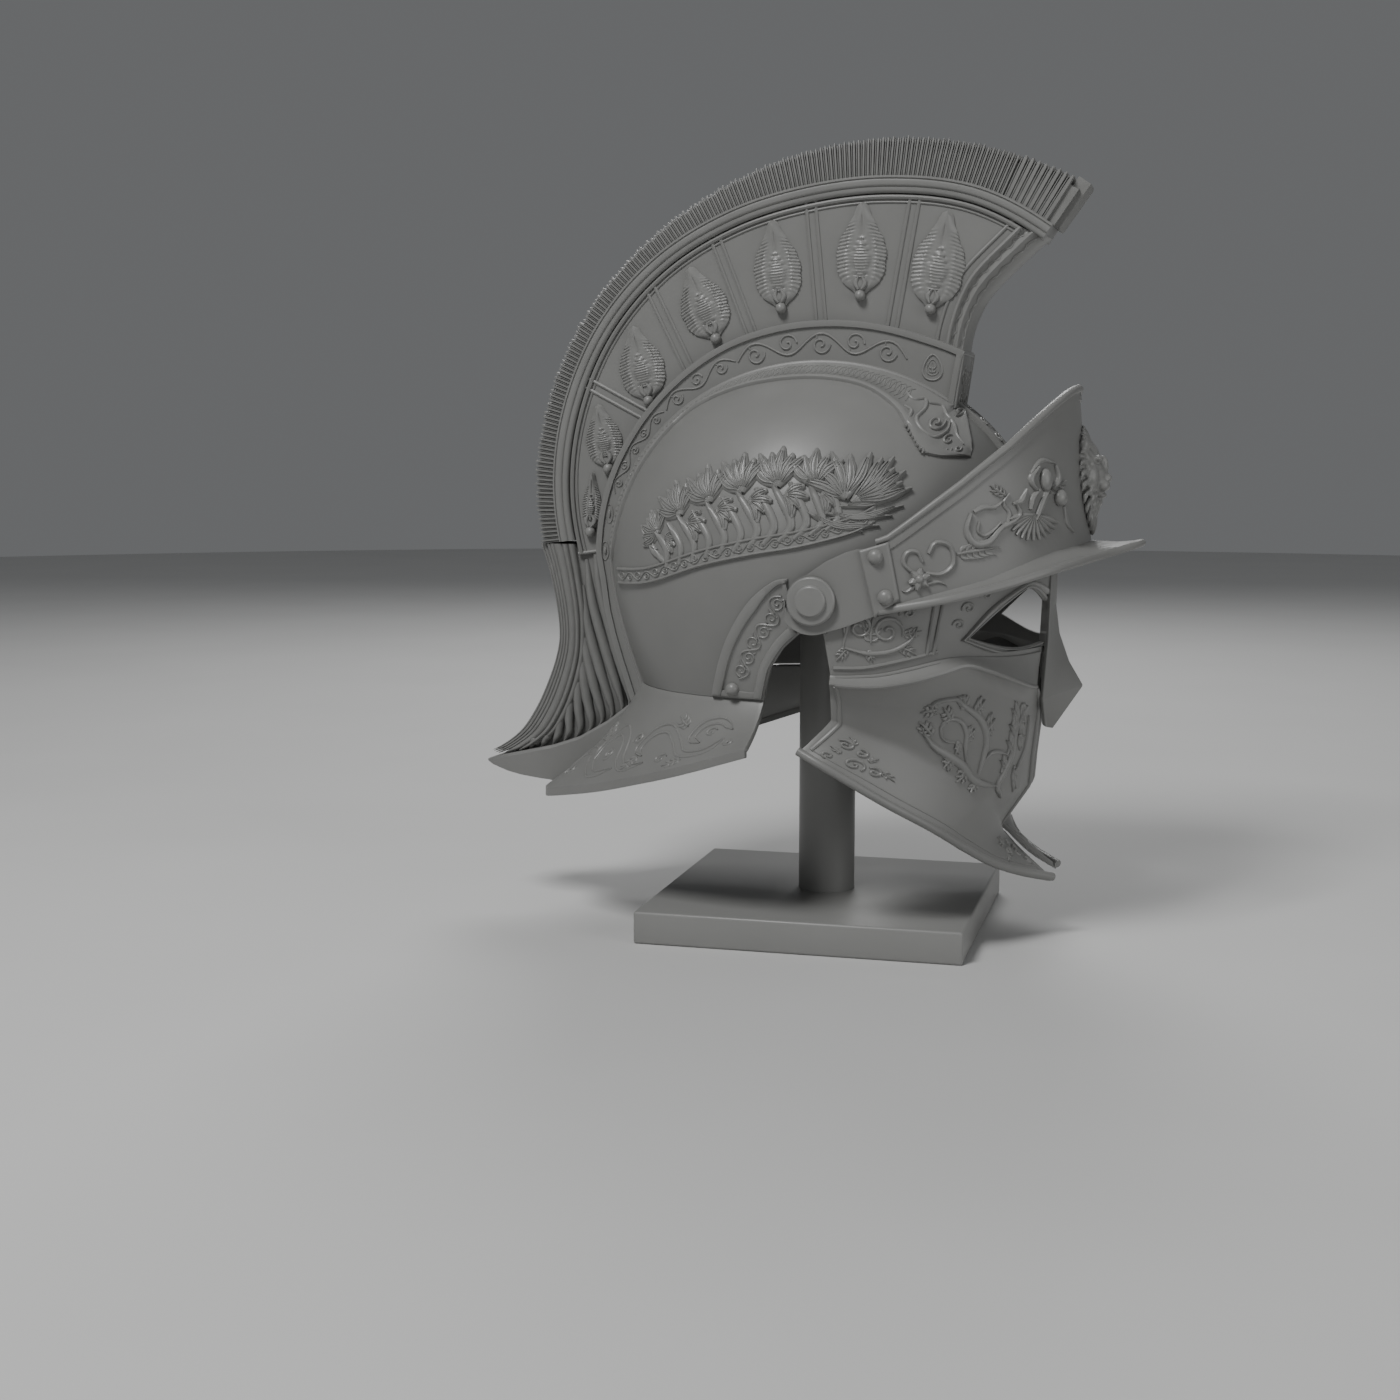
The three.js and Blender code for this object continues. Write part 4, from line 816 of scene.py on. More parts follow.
# %% Crest front
NOSE_SECTION = [  # share of the depth, half-width
    (0, 16.4), (0.03, 17.2), (0.09, 17.6), (0.15, 17.1), (0.18, 15.6), (0.3, 14.8), (0.42, 15.5),
    (0.46, 16.8), (0.52, 17.3), (0.58, 16.6), (0.62, 15.0), (0.7, 14.2), (0.78, 14.2), (0.83, 13.2),
    (0.89, 11.4), (0.94, 8.6), (0.98, 4.6), (1, 1.5),
]
front_back, front_face = smooth_line(FRONT_BACK), smooth_line(FRONT_FACE)


def nose_place(t, share):
    """The right side of the nose: t goes down its line, share from its back to its face."""
    half = np.interp(share, *np.array(NOSE_SECTION).T)
    back, face = front_back(t), front_face(t)
    x, z = (back + (face - back) * share[:, None]).T
    return places(x, -half, z)


nose_shares = np.array(NOSE_SECTION)[:, 0]
nose = loft("crest_nose", [closed(nose_place(t, nose_shares)) for t in np.linspace(0.075, 1, 60)])
trims = Carving()
for middle, half_share in ((0.3, 0.085), (0.72, 0.06)):
    def hollow(t, s, middle=middle):
        return nose_place(t, middle + s)
    for i in range(17):
        t = 0.12 + i * 0.05
        sign = 1 if i % 2 else -1
        bend = [(t, -half_share * sign), (t + 0.02, half_share * 0.2 * sign), (t + 0.045, half_share * sign)]
        trims.stroke(hollow, bend, [0.2, 0.7, 0.2], 0.5, sink=0.1, steps=8)
scrolls = trims.piece("nose_scrolls")
nose = joined("crest_nose", nose, scrolls, left_copy(scrolls, "nose_scrolls_left"))
hand_over(nose, "trim_metal", "crest_front_trim", angle=45)

# %% [markdown]
# ## Tail plate
# Behind the skull the box runs out over the neck guard to a point. It is a loft of rounded oblong
# rings along the helmet, between its top line, its foot line and its plan.

# %% Tail plate
PLATE_TOP = np.array([(-110.5, 124), (-124, 113.5), (-142, 103), (-158, 97.5), (-173, 94), (-190, 90),
                      (-202.5, 85.6), (-205.8, 84.6)])
PLATE_FOOT = np.array([(-100, 100), (-135, 72), (-160, 77), (-178, 78.7), (-193, 81.5), (-201, 83.3),
                       (-205.8, 84.1)])
PLATE_HALF = np.array([(-206, 2.5), (-204.2, 7), (-199, 13), (-187, 19.5), (-166, 23), (-100, 23)])


def plate_size(x):
    top = np.interp(-x, -PLATE_TOP[:, 0], PLATE_TOP[:, 1])
    foot = np.interp(-x, -PLATE_FOOT[:, 0], PLATE_FOOT[:, 1])
    return top, np.minimum(foot, top - 0.4), np.interp(x, PLATE_HALF[:, 0], PLATE_HALF[:, 1])


def plate_ring(x):
    top, foot, half = plate_size(x)
    drop = min(1.6, (top - foot) / 2)
    right = [(x, 0, top - 0.9), (x, -half + 6.6, top - 0.9), (x, -half + 5.8, top - 0.2),
             (x, -half + 4.8, top), (x, -half + 1.2, top), (x, -half, top - drop), (x, -half, foot + 0.2),
             (x, -half + 0.6, foot), (x, 0, foot)]
    right = [(a, min(b, 0.0), c) for a, b, c in right]
    return np.array([*right, *[(a, -b, c) for a, b, c in right[-2:0:-1]]])


plate = loft("tail_plate_bar", [plate_ring(x) for x in np.linspace(-106, -205.8, 60)])
hand_over(plate, "helmet_metal", "crest_tail_plate", angle=30)
hand_over(box, "helmet_metal", "crest_base_band")

# %% [markdown]
# ## Visor plate
# The visor is a tall brow plate bent round the front, turned out into a flat brim below. A grid runs
# over both sides by plan angle, its rows between the two edge lines, and Solidify gives the wall.
# The rolled upper edge is a wire bead, and a flat step lies just under it.

# %% Visor plate
VISOR_LOW = [(45, 186.4), (58, 190), (97.5, 200.6), (117.4, 209), (129.7, 214), (144.9, 217.5), (170, 217.5)]
VISOR_RIM = [(45, 222.3), (50.6, 224.4), (60.7, 232), (84.6, 250.8), (106.9, 270.2), (120, 284),
             (132.3, 297.2), (136.3, 300.9), (150, 314.5)]


def height_at(line, x):
    known = np.array(line, float)
    return np.interp(x, known[:, 0], known[:, 1])


def visor_at(angle, share):
    """A point of the right side by plan angle, share 0 at the lower edge and 1 at the rim."""
    share = share + 0 * angle
    z = np.full_like(angle, 230.0)
    for _ in range(14):
        x = VISOR["x"] + visor_length(z) * np.cos(np.radians(angle))
        low, high = height_at(VISOR_LOW, x), height_at(VISOR_RIM, x)
        z = low + (high - low) * share
    return on_visor(VISOR["x"] + visor_length(z) * np.cos(np.radians(angle)), z)


VISOR_BACK = np.degrees(acos((45 - VISOR["x"]) / visor_length(205)))


def over_the_middle(at, back):
    """Both sides of a surface that is known on the right by its plan angle, from back to front."""
    def place(u, v):
        side = u * 2 - 1
        points = at(np.abs(side) * back, v)
        points[:, 1] *= -np.sign(side + 1e-12)
        return points
    return place


visor = bent_grid("visor_sheet", over_the_middle(visor_at, VISOR_BACK), 140, 28)
wall(visor, "visor")


rim = Carving()
rim_line = both_sides(visor_at(np.linspace(VISOR_BACK, 0, 80), 1))
rim.tube(rim_line + (0, 0, -0.4), [1.6, 2.2, 2.3, 2.2, 1.6], sides=12, across=(0, 0, 1))
RIM_STEP = 5.6
trims = Carving()
step_path = []
for angle in np.linspace(VISOR_BACK - 1, -1.5, 60):
    x = VISOR["x"] + visor_length(250) * cos(radians(angle))
    step_path.append((angle, 1 - RIM_STEP / (8 + height_at(VISOR_RIM, x) - height_at(VISOR_LOW, x))))
trims.stroke(visor_at, step_path, 2.3, 0.9, sink=0.1, steps=100, square=0.4, smooth=False)
step = trims.piece("visor_step")
visor = joined("visor_sheet", visor, rim.piece("visor_rim"), step, left_copy(step, "visor_step_left"))

BRIM_EDGE = [(54, -106, 187.4), (80.9, -101.2, 192.4), (107, -86, 198.6), (132.3, -66.6, 206.4),
             (155.6, -28, 212.8), (174.1, 0, 218)]
brim_edge = smooth_line(both_sides([(47, -107.6, 186.2), *BRIM_EDGE]))
BRIM_HALF = 1.4
BRIM_BITE = 1.4  # how far it runs into the plate
BRIM_STEPS, BRIM_REACH = 150, 164
BRIM_ROLL = [(4.6, 1.0), (2.8, 1.4), (1.2, 1.3), (0.3, 0.7)]  # back from the edge, and half the thickness


def brim_rings():
    share = np.linspace(0, 1, BRIM_STEPS)
    edge = brim_edge(share)
    reach = np.degrees(np.arccos(np.clip((edge[:, 0] - VISOR["x"]) / BRIM_REACH, 0, 1)))
    reach *= VISOR_BACK / reach[0]
    inner = visor_at(reach, 0)
    inner[share > 0.5, 1] *= -1
    for near, far in zip(inner, edge):
        outward = (far - near) / max(np.linalg.norm(far - near), 1e-6)
        inward = near - outward * BRIM_BITE
        middle = near + (far - near) * 0.5 + (0, 0, -0.8)
        up = np.array((0, 0, BRIM_HALF))
        upper = [far - outward * back + up * thick for back, thick in BRIM_ROLL]
        lower = [far - outward * back - up * thick for back, thick in BRIM_ROLL[::-1]]
        yield [inward + up, middle + up, *upper, far, *lower, middle - up, inward - up]


brim = loft("visor_brim", list(brim_rings()))
visor = joined("visor_sheet", visor, brim)
hand_over(visor, "helmet_metal", "visor_plate", body="visor", angle=35)

# %% [markdown]
# ## Hinge arms and caps
# Each side of the visor hangs on an arm that is bent to the same curve and rounded about the pivot.
# A curved strap plate with two rivets joins arm and visor. The cap over the pivot is a turned disc.

# %% Hinge arms
PIVOT_X, PIVOT_Z = 12.5, 191.5
ARM_FRONT = 46.5
ARM_RADIUS_UP, ARM_RADIUS_DOWN = 13.4, 17.5


def pivot_arc(radius, degrees):
    return [(PIVOT_X + radius * cos(t), PIVOT_Z + radius * sin(t)) for t in np.radians(degrees)]


arc_up = pivot_arc(ARM_RADIUS_UP, range(104, 191, 6))
arc_down = pivot_arc(ARM_RADIUS_DOWN, range(215, 293, 6))
arm_top = even_line(np.array([*arc_up[::-1], (20, 212), (29.3, 216.3), (35, 218), (ARM_FRONT, 218.8)]))
arm_foot = even_line(np.array([*arc_down, (30, 178.6), (ARM_FRONT, 185)]))


def arm_place(u, v):
    low, high = arm_foot(u), arm_top(u)
    x, z = (low + (high - low) * v[:, None]).T
    return on_visor(x, z)


arm = bent_grid("hinge_arm_right", arm_place, 60, 30)
wall(arm, "arm")
soften(arm, 0.5, 60)
hand_over_pair(arm, "helmet_metal", "visor_arm_right", body="visor")

strap_front = straight_line([(56.9, 192.8), (51.1, 222)])
strap_back = straight_line([(44.7, 183.6), (36.4, 217.5)])


def strap_place(u, v):
    x, z = (strap_back(v) + (strap_front(v) - strap_back(v)) * u[:, None]).T
    place = on_visor(x, z)
    rim = np.minimum(np.minimum(u, 1 - u) * 14, np.minimum(v, 1 - v) * 32)
    place[:, 1] -= 2.3 - 0.9 * np.clip(1 - rim / 1.2, 0, 1) ** 2
    return place


strap = bent_grid("visor_strap_plate_right", strap_place, 30, 60)
wall(strap, "strap")
hand_over_pair(strap, "helmet_metal", "visor_strap_right", body="visor", angle=30)

STUD_RISE = 3.4


def stud_profile(foot, level, radius):
    """(height, radius) pairs of a round rivet head over its foot."""
    dome = [(level + STUD_RISE * sin(t), radius * cos(t)) for t in np.radians(range(12, 88, 12))]
    return [foot, (level, radius), *dome, (level + STUD_RISE, 0.2)]


for number, (x, z) in enumerate([(44.8, 214.5), (50, 194)], 1):
    seat = on_visor(np.array([x]), np.array([z]))[0] - (0, 2.3, 0)
    turn = np.linspace(0, 2 * pi, 28, endpoint=False)
    rings = [places(seat[0] + r * np.cos(turn), np.full(28, seat[1] - out), seat[2] + r * np.sin(turn))
             for out, r in stud_profile((-1.6, 3.9), 0.2, 3.9)]
    rivet = loft(f"strap_stud_{number}_right", rings)
    hand_over_pair(rivet, "trim_metal", f"strap_rivet_{number}_right", body="visor")

BOSS_FACE, BOSS_RADIUS, BOSS_DEPTH = 109.3, 12.6, 2.4
BOSS_STEPS = ((0.9, 0.6), (3.6, 0.0), (0.1, 1.5), (0.8, 0.5), (5.0, 0.0))  # inset, then how far out
bpy.ops.mesh.primitive_cylinder_add(vertices=64, radius=BOSS_RADIUS * MM, depth=BOSS_DEPTH * MM,
                                    end_fill_type="NGON",
                                    location=(PIVOT_X * MM, -(BOSS_FACE + BOSS_DEPTH / 2) * MM, PIVOT_Z * MM),
                                    rotation=(pi / 2, 0, 0))
boss = bpy.context.object
boss.name = "pivot_cap_right"
bpy.ops.object.transform_apply(location=True, rotation=True)
bpy.ops.object.mode_set(mode="EDIT")
mesh = bmesh.from_edit_mesh(boss.data)
flat_ends = [face for face in mesh.faces if len(face.verts) > 8]
front = min(flat_ends, key=lambda face: face.calc_center_median().y)
for face in mesh.faces:
    face.select_set(face is front)
for inset, rise in BOSS_STEPS:
    bpy.ops.mesh.inset(thickness=inset * MM, depth=0)
    bpy.ops.transform.translate(value=(0, -rise * MM, 0))
bpy.ops.object.mode_set(mode="OBJECT")
soften(boss, 0.25, 35)
hand_over_pair(boss, "trim_metal", "pivot_boss_right", angle=30)

# %% [markdown]
# ## Brow mask
# The upper part of the face guard is one sheet under the visor. A grid by plan angle follows its two
# edges, and the eyes are cut by a boolean with a prism of the eye's outline, the way a smith saws
# them out of the finished sheet.

# %% Brow mask
MASK_SPLIT = [(18.6, 172), (21.3, 154), (39.5, 154.6), (60.6, 159), (77.4, 162.8), (92, 162.4), (106, 161),
              (170, 161)]
MASK_TOP = [(20, 203), (35, 208), (60, 212), (170, 216)]
EYE = [(89, 171.4), (101.5, 183.5), (112, 193), (116, 195), (120.3, 191), (123.6, 181.4), (123.2, 167.5),
       (118, 164.6), (110, 164.2), (101.7, 166.3)]


def between(low_line, high_line, x_of, surface):
    """A sheet by plan angle between two edge lines of the side view."""
    def at(angle, share):
        z = np.full_like(angle, 180.0)
        for _ in range(14):
            x = x_of(angle, z)
            low, high = height_at(low_line, x), height_at(high_line, x)
            z = low + (high - low) * share
        return surface(angle, z)
    return at


def face_x(angle, z):
    return FACE_X + face_size(z)[0] * np.cos(np.radians(angle))


MASK_TUCK = 2.6
mask_foot = [(x, z - MASK_TUCK) for x, z in MASK_SPLIT[1:]]
mask_at = between(mask_foot, MASK_TOP, face_x, on_face)
MASK_BACK = float(face_angle(np.array([21.5]), np.array([178.0]))[0])
mask = bent_grid("brow_sheet", over_the_middle(mask_at, MASK_BACK), 170, 32)
wall(mask, "brow")
eye_line = smooth_line([*EYE, EYE[0]])(np.linspace(0, 1, 60, endpoint=False))
prism = loft("eye_cutter", [[(x, y, z) for x, z in eye_line] for y in (-130, -8)])
for cutter in (prism, left_copy(prism, "eye_cutter_left")):
    modifier = mask.modifiers.new("Eye", "BOOLEAN")
    modifier.operation = "DIFFERENCE"
    modifier.object = cutter
    only(mask)
    bpy.ops.object.modifier_apply(modifier="Eye")
    bpy.data.objects.remove(cutter)

LUG_HALF = 12
lug_back = straight_line([(21.3, 154), (18.6, 172), *pivot_arc(LUG_HALF, range(290, 59, -10)), (20, 203)])


def lug_place(u, v):
    back = lug_back(v)
    front = places(np.full_like(v, 22.5), 154 + (203.7 - 154) * v)
    x, z = (back + (front - back) * u[:, None]).T
    return on_face_side(x, z)


lug = bent_grid("brow_lug", lug_place, 16, 60)
wall(lug, "lug")
mask = joined("brow_sheet", mask, lug, left_copy(lug, "brow_lug_left"))

trims = Carving()
for low_x, high_x in ((69, 73.5), (72, 77.5)):
    trims.stroke(on_face_side, [(low_x, 163.5), ((low_x + high_x) / 2, 180), (high_x, 196)], 1.1, 1.5,
                 sink=0.2, steps=20)
trims.stroke(on_face_side, [(23, 156.6), (39.5, 157), (60.6, 161.4), (74, 164.8)], 1.3, 1.2, steps=60)
rims = trims.piece("brow_rims")
mask = joined("brow_sheet", mask, rims, left_copy(rims, "brow_rims_left"))
hand_over(mask, "helmet_metal", "brow_mask", body="face_guard", angle=35)

# %% [markdown]
# ## Eye frames
# A double moulding runs round each eye: a thin wire at the opening, a groove, then a broad bead. In
# section it is one closed ring of points, lofted once round the eye in the angle and height of the
# face guard.

# %% Eye frames
FRAME_SECTION = [  # distance from the opening's edge, height above the sheet
    (0.35, -1.6), (0.4, 0.6), (0.7, 1.25), (1.2, 1.35), (1.6, 0.85), (1.9, 0.8), (2.3, 1.5), (2.9, 2.15),
    (3.5, 2.1), (4.0, 1.4), (4.2, 0.4), (4.2, -1.4),
]
FRAME_FOOT, FRAME_FRONT = 162.9, 10.3
eye_ring = smooth_line([*EYE, EYE[0]])(np.linspace(0, 1, 130, endpoint=False))
eye_middle = eye_ring.mean(axis=0)
eye_outwards = unit(eye_ring - eye_middle)
rings = []
for place, outward in zip(eye_ring, eye_outwards):
    ring = []
    for distance, height in FRAME_SECTION:
        x, z = place + outward * distance
        z = max(z, FRAME_FOOT)
        angle = float(face_angle(np.array([x]), np.array([z]))[0])
        ring.append(on_face(np.array([max(angle, FRAME_FRONT)]), np.array([z]), height)[0])
    rings.append(ring)
sides = len(FRAME_SECTION)
rings = np.array(rings)
faces = loft_faces(len(rings), sides, capped=False)
last = (len(rings) - 1) * sides
faces += [(last + s, last + (s + 1) % sides, (s + 1) % sides, s) for s in range(sides)]
frame_ring = mesh_piece("eye_moulding_right", rings.reshape(-1, 3), faces)
face_outwards(frame_ring)
hand_over_pair(frame_ring, "trim_metal", "eye_frame_right", body="face_guard", angle=40)

# %% [markdown]
# ## Nose piece
# The nose is a folded sheet: a sharp middle ridge that stands well forward and flat sides that fall
# back to the face. Two mirrored rows of facets give the fold, and a small bevel softens the ridge.

# %% Nose piece
NOSE = [  # ridge x, ridge z, foot z, half-width
    (127.4, 208, 208, 9), (127.4, 197, 197, 12), (127, 184, 183, 15), (129.3, 168, 165, 17),
    (135, 152.6, 149, 17.5), (143, 139.4, 133, 17.5), (126.8, 114.5, 116, 3),
]


def nose_rows():
    for (ridge_x, ridge_z, foot_z, half), grown in zip(NOSE, (1.2, 1.4, 2.2, 3.4, 4.2, 4.2, 4.2)):
        length, width = face_size(np.array([float(foot_z)]), grown)
        foot_x = FACE_X + length[0] * sqrt(1 - (half / width[0]) ** 2)
        right = (foot_x, -half, foot_z)
        wing = (foot_x + (ridge_x - foot_x) * 0.34, -half * 0.56, foot_z + (ridge_z - foot_z) * 0.4)
        yield [right, wing, (ridge_x, 0, ridge_z), (wing[0], -wing[1], wing[2]), (foot_x, half, foot_z)]


rows = np.array(list(nose_rows()))
faces = [(r * 5 + s, r * 5 + s + 1, (r + 1) * 5 + s + 1, (r + 1) * 5 + s) for r in range(6) for s in range(4)]
nose_sheet = mesh_piece("nose_piece", rows.reshape(-1, 3), faces)
turn_out(nose_sheet, (60, 0, 160))
wall(nose_sheet, "nose")
soften(nose_sheet, 0.7, 20, segments=3)
hand_over(nose_sheet, "helmet_metal", "nasal", body="face_guard", angle=25)

# %% [markdown]
# ## Cheek guards
# Under the brow mask each cheek is a sheet with a sharp ridge. Above the ridge it is a shelf, under
# it the metal falls into a deep hollow, and below the fold it flares out to the chin. A fine grid
# goes through those lines, and the flare ends in a rolled hem.

# %% Cheek guards
CHEEK = np.array([  # plan angle, then the heights of top, ridge, hollow and fold, and how proud the ridge is
    (84.2, 153, 149, 139.5, 128.7, 7), (78, 153.2, 148, 135.5, 121.5, 7.3), (71, 154.2, 148, 135, 114, 7.5),
    (63, 157.3, 150.5, 138, 103.5, 7.5), (55, 160.6, 154.3, 141, 94, 7.5),
    (48.5, 161.6, 157.5, 140.5, 86.5, 7.6), (42, 161.1, 154.5, 137, 79.5, 7.6),
    (34, 160.2, 149.5, 132.5, 73, 7.8), (26, 159.7, 144.7, 130, 67.5, 7.4), (18, 159.7, 141.7, 129, 63, 5),
    (11, 159.7, 140.5, 130, 59.5, 1.2),
])
FLARE = smooth_line([(4.8, -104, 112), (22, -106.5, 103.2), (50, -98, 85.8), (72, -84, 71.4), (88, -66, 57.5),
                     (101, -48, 46.5), (115, -31, 39), (130, -17, 34)])
CHEEK_SPAN = CHEEK[0, 0] - CHEEK[-1, 0]
CHEEK_LINES = [smooth_line(CHEEK[:, [0, k]]) for k in range(1, 6)]
CHEEK_DENSE = [line(np.linspace(0, 1, 300)) for line in CHEEK_LINES]


def cheek_heights(u):
    angle = CHEEK[0, 0] - CHEEK_SPAN * u
    return angle, [np.interp(-angle, -line[:, 0], line[:, 1]) for line in CHEEK_DENSE]


RIDGE, HOLLOW, FOLD = 0.2, 0.5, 0.72  # shares from the top of the cheek to its rim


def cheek_at(u, v):
    """u goes from the ear to the chin, and v down from the top over ridge, hollow and fold."""
    angle, (top, ridge, hollow, fold, proud) = cheek_heights(u)
    lower_angle = angle + (angle * 0.45 - angle) * u
    above = np.clip(v / RIDGE, 0, 1)
    shelf = on_face(angle, top + (ridge - top) * above, 1.0 + (proud - 1.0) * above**1.3)
    drop = np.clip((v - RIDGE) / (HOLLOW - RIDGE), 0, 1)
    swing = angle + (lower_angle - angle) * drop
    sunk = 0.4 + (proud - 0.4) * (1 - drop) ** 1.9
    under = on_face(swing, ridge + (hollow - ridge) * drop, sunk)
    fall = np.clip((v - HOLLOW) / (FOLD - HOLLOW), 0, 1)
    wall_part = on_face(lower_angle, hollow + (fold - hollow) * fall, 0.4 - 2.0 * fall)
    flare = np.clip((v - FOLD) / (1 - FOLD), 0, 1)[:, None]
    edge = FLARE(u)
    out = wall_part + (edge - wall_part) * flare
    out[:, 2] -= 1.6 * np.sin(pi * flare[:, 0] ** 0.8) * np.sin(pi * np.clip(u, 0.02, 0.98)) ** 0.5
    place = np.where((v <= RIDGE)[:, None], shelf, under)
    place = np.where((v > HOLLOW)[:, None], wall_part, place)
    return np.where((v > FOLD)[:, None], out, place)


cheek = bent_grid("cheek_sheet_right", lambda u, v: cheek_at(u, 1 - v), 84, 62, inside=(60, 0, 110))
wall(cheek, "cheek")
soften(cheek, 0.4, 45)
trims = Carving()
hem = FLARE(np.linspace(0, 1, 90)) + (0, 0, 0.9)
trims.tube(hem, 2.3, sides=12, across=(0, 0, 1))
share = np.linspace(0.02, 0.98, 60)
EDGE_OUT = (0.2, -1, 0.3)
for v, width, height in ((0.94, 0.5, 0.6), (RIDGE, 1.2, 0.9)):
    trims.stroke(cheek_at, [(s, v) for s in share], width, height, sink=0.3, out=EDGE_OUT, steps=90,
                 smooth=False)
trims.stroke(cheek_at, [(s, 0.03) for s in np.linspace(0.02, 0.4, 30)], 0.9, 0.8, sink=0.2, out=EDGE_OUT,
             steps=50, smooth=False)
trims.stroke(cheek_at, [(0.02, s) for s in np.linspace(0.22, 0.94, 20)], 1.2, 1.1, sink=0.2,
             out=(-0.2, -1, 0), steps=50, smooth=False)
slit_edge = cheek_at(np.full(60, 0.99), np.linspace(0.23, 0.73, 60))
trims.tube(slit_edge, [1.0, 1.8, 1.8, 1.8, 1.2], sides=12, across=(0, 1, 0))
trims.stroke(cheek_at, [(0.975, s) for s in np.linspace(0.75, 0.95, 20)], 0.7, 0.7, sink=0.2, out=EDGE_OUT,
             steps=40, smooth=False)
cheek = joined("cheek_sheet_right", cheek, trims.piece("cheek_hem"))
hand_over_pair(cheek, "helmet_metal", "cheek_guard_right", body="face_guard", angle=32)

# %% [markdown]
# ## Stiff plume
# The brush along the rail is a dense row of stiff locks. A wall with a bump texture would look flat
# from the front and above, so the locks are real: thick and thin ones take turns, in rows across the
# crest, and their tips end a little unevenly. A core under them closes the gaps, and one upright bar
# ends the brush in front.

# %% Plume brush
PLUME_FRONT, PLUME_REAR = 55.2, 186.5
plume_core = loft("plume_core", [
    closed(np.vstack([crest_place(np.array([angle]), crest_radius(name, angle) - inset, y)
                      for name, inset, y in (("rail", 0.4, -14.6), ("tips", 6.0, -14.6),
                                             ("tips", 4.6, -9.0))]))
    for angle in np.linspace(PLUME_FRONT + 0.6, PLUME_REAR - 0.3, 110)])
locks = Carving()
chance = np.random.default_rng(7)
LOCK_RING = np.array([(1, 0), (0.6, 0.75), (-0.6, 0.75), (-1, 0), (-0.6, -0.75), (0.6, -0.75)])


def plume_lock(angle, y, along, across, short=0.0, lean=0.0):
    """A pointed lock from the rail to the tips, its half-sizes along the crest and across it."""
    foot, tip = crest_radius("rail", angle) - 0.6, crest_radius("tips", angle) - 0.4 - short
    rows = [(0, 1, 0.0), (0.5, 1, 0.25), (0.86, 0.9, 0.8), (0.96, 0.55, 0.95), (1, 0.12, 1.0)]
    c, s = at_angle(angle)
    ahead = np.array((-s, 0, c))
    centres = [crest_place(np.array([angle]), foot + (tip - foot) * share, y)[0] + ahead * lean * bend
               for share, _, bend in rows]
    rings = [centre + LOCK_RING[:, :1] * ahead * along * size
             + LOCK_RING[:, 1:] * (0, across * (size + 1) / 2, 0)
             for centre, (_, size, _) in zip(centres, rows)]
    locks.take(np.vstack(rings), loft_faces(len(rows), len(LOCK_RING), locks.count))


LOCK_PITCH, LOCK_RADIUS = 2.55, 190
FINE_START = 66  # angle where the thick locks of the front end and the fine ones begin
rows_across = np.linspace(-14.2, 14.2, 7)
count = int(np.radians(PLUME_REAR - FINE_START) * LOCK_RADIUS / LOCK_PITCH)
for number, angle in enumerate(np.linspace(FINE_START, PLUME_REAR - 0.5, count)):
    thin = 0.5 * np.degrees(LOCK_PITCH / LOCK_RADIUS)
    for y in rows_across:
        short = chance.uniform(0, 1.1)
        plume_lock(angle, y, 0.86, 2.9, short, chance.uniform(-0.12, 0.12))
        if abs(y) > 13:
            plume_lock(angle + thin, y * 0.985, 0.45, 2.4, short + 0.9)
        elif number % 2:
            plume_lock(angle + thin, y, 0.5, 2.6, short + 1.2)
for angle in np.arange(57.6, 65.8, 1.05):
    for y in rows_across:
        plume_lock(angle, y, 1.55, 2.9, chance.uniform(0, 0.5))
        plume_lock(angle + 0.5, y * 0.99, 0.5, 2.6, 1.4)
end_bar = []
for share in (0, 0.04, 0.5, 0.94, 1):
    foot, tip = crest_radius("rail", 56) - 0.4, crest_radius("tips", 55.5) - 0.2
    narrow = 0.8 if share in (0, 1) else 0
    end_bar.append([crest_place(np.array([angle]), foot + (tip - foot) * share, y)[0]
                    for angle, y in ((54.7 + 0.15 * narrow, -10 + narrow), (54.9, -11.6 + narrow),
                                     (56.9, -12.4 + narrow), (56.9, 12.4 - narrow), (54.9, 11.6 - narrow),
                                     (54.7 + 0.15 * narrow, 10 - narrow))])
plume = joined("stiff_plume", plume_core, locks.piece("plume_locks_row"), loft("plume_end_bar", end_bar))
hand_over(plume, "plume_bristle", "plume_brush", angle=45)

# %% [markdown]
# ## Trailing plume
# At the back the plume turns into long smooth strands that hang down and swing out over the tail
# plate. Each strand is a slab lofted along its own line between the outer and the inner line of the
# solid. The outermost is parted into tubes, so that it also reads as hair from behind.

# %% Trailing strands
TAIL = np.array([(214, -168.2, -150.0), (196, -162.5, -146.5), (176, -158.5, -143.5), (160, -157.3, -143),
                 (146, -160, -144.5), (130, -166, -149), (116, -173, -155), (104, -181.5, -163),
                 (95, -193, -175), (89.5, -205, -186)])
tail_outer, tail_inner = smooth_line(TAIL[:, [1, 0]]), smooth_line(TAIL[:, [2, 0]])
STRANDS = [  # share across from and to, half-width, where it ends
    (0.1, 0.27, 13.5, 0.985), (0.25, 0.41, 15.0, 0.995), (0.39, 0.56, 16.4, 1.0), (0.54, 0.85, 17.6, 0.99),
    (0.83, 1.02, 18.6, 0.97), (0.99, 1.22, 17.4, 0.9),
]
STRAND_GROOVE = 1.3
SIDE_SHARE = np.linspace(-1, 1, 9)


